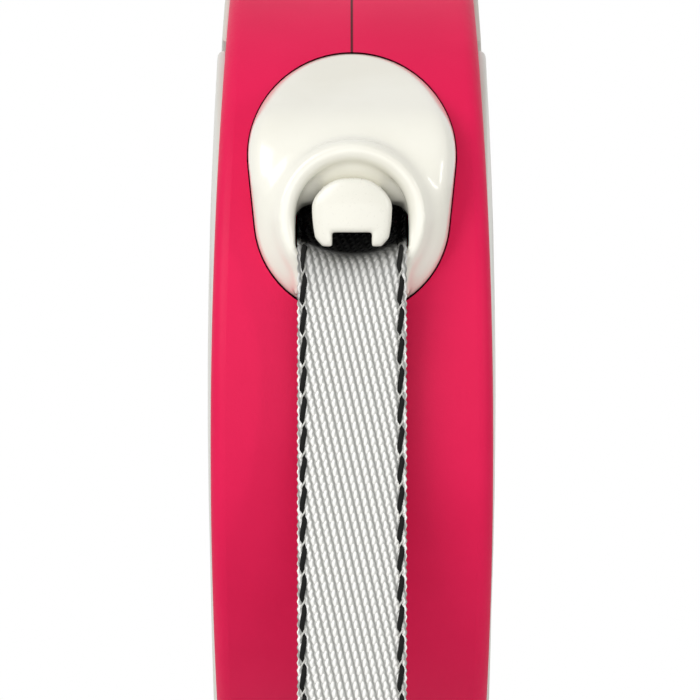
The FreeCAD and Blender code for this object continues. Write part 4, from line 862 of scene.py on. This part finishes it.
# ------------------------------------------------------------ studio
# A pale floor below the hook that fades into white with distance, a large soft lamp
# from the left, two weaker ones in front and on the right, and an even pale surround.
floor_mesh = bpy.data.meshes.new("floor")
reach, depth = 3.0, cad_box[0][2] - 0.002
floor_corners = [
    (-reach, -reach, depth), (reach, -reach, depth), (reach, reach, depth), (-reach, reach, depth)]
floor_mesh.from_pydata(floor_corners, [], [(0, 1, 2, 3)])
floor = bpy.data.objects.new("floor", floor_mesh)
bpy.context.collection.objects.link(floor)
floor_material, nodes, links, shader = new_material("floor")
tone = object_noise(nodes, links, scale=3.0)
pale = shade_between(nodes, links, tone.outputs["Fac"], (0.86, 0.86, 0.86), (0.88, 0.88, 0.88))
links.new(pale, shader.inputs["Base Color"])
shader.inputs["Roughness"].default_value = 0.9
reached = nodes.new("ShaderNodeVectorMath")
reached.operation = "LENGTH"
links.new(object_place(nodes), reached.inputs[0])
fade_from, white_at = 0.25, 1.3
far = fade(nodes, links, reached.outputs["Value"], fade_from, white_at)
rays = nodes.new("ShaderNodeLightPath")
paper = nodes.new("ShaderNodeEmission")
paper.inputs["Color"].default_value = (1.0, 1.0, 1.0, 1.0)
faded = nodes.new("ShaderNodeMixShader")
links.new(combine(nodes, links, "MULTIPLY", rays.outputs["Is Camera Ray"], far), faded.inputs["Fac"])
links.new(shader.outputs["BSDF"], faded.inputs[1])
links.new(paper.outputs["Emission"], faded.inputs[2])
links.new(faded.outputs["Shader"], nodes["Material Output"].inputs["Surface"])
floor_mesh.materials.append(floor_material)


def soft_lamp(name, place, width, height, power):
    lamp = bpy.data.lights.new(name, "AREA")
    lamp.shape = "RECTANGLE"
    lamp.size = width
    lamp.size_y = height
    lamp.energy = power
    holder = bpy.data.objects.new(name, lamp)
    holder.location = place
    holder.rotation_euler = (view_middle - Vector(place)).to_track_quat("-Z", "Y").to_euler()
    holder.visible_camera = False
    bpy.context.collection.objects.link(holder)


soft_lamp("key_lamp", (-0.85, -1.15, 0.80), 0.9, 1.1, 12.0)
soft_lamp("front_lamp", (0.05, -1.7, 0.02), 1.6, 0.3, 3.2)
soft_lamp("side_lamp", (1.0, -1.0, 0.35), 0.16, 0.6, 2.2)

world = bpy.data.worlds.new("surround")
world.use_nodes = True
bpy.context.scene.world = world
nodes, links = world.node_tree.nodes, world.node_tree.links
background = nodes["Background"]
background.inputs["Color"].default_value = (0.80, 0.80, 0.80, 1.0)
background.inputs["Strength"].default_value = 0.60
white = nodes.new("ShaderNodeBackground")
white.inputs["Color"].default_value = (1.0, 1.0, 1.0, 1.0)
white.inputs["Strength"].default_value = 1.0
rays = nodes.new("ShaderNodeLightPath")
seen = combine(nodes, links, "MAXIMUM", rays.outputs["Is Camera Ray"], rays.outputs["Is Transmission Ray"])
shown = combine(nodes, links, "MAXIMUM", seen, rays.outputs["Is Glossy Ray"])
mix = nodes.new("ShaderNodeMixShader")
links.new(shown, mix.inputs["Fac"])
links.new(background.outputs["Background"], mix.inputs[1])
links.new(white.outputs["Background"], mix.inputs[2])
links.new(mix.outputs["Shader"], nodes["World Output"].inputs["Surface"])

bpy.context.scene.view_settings.view_transform = "Standard"
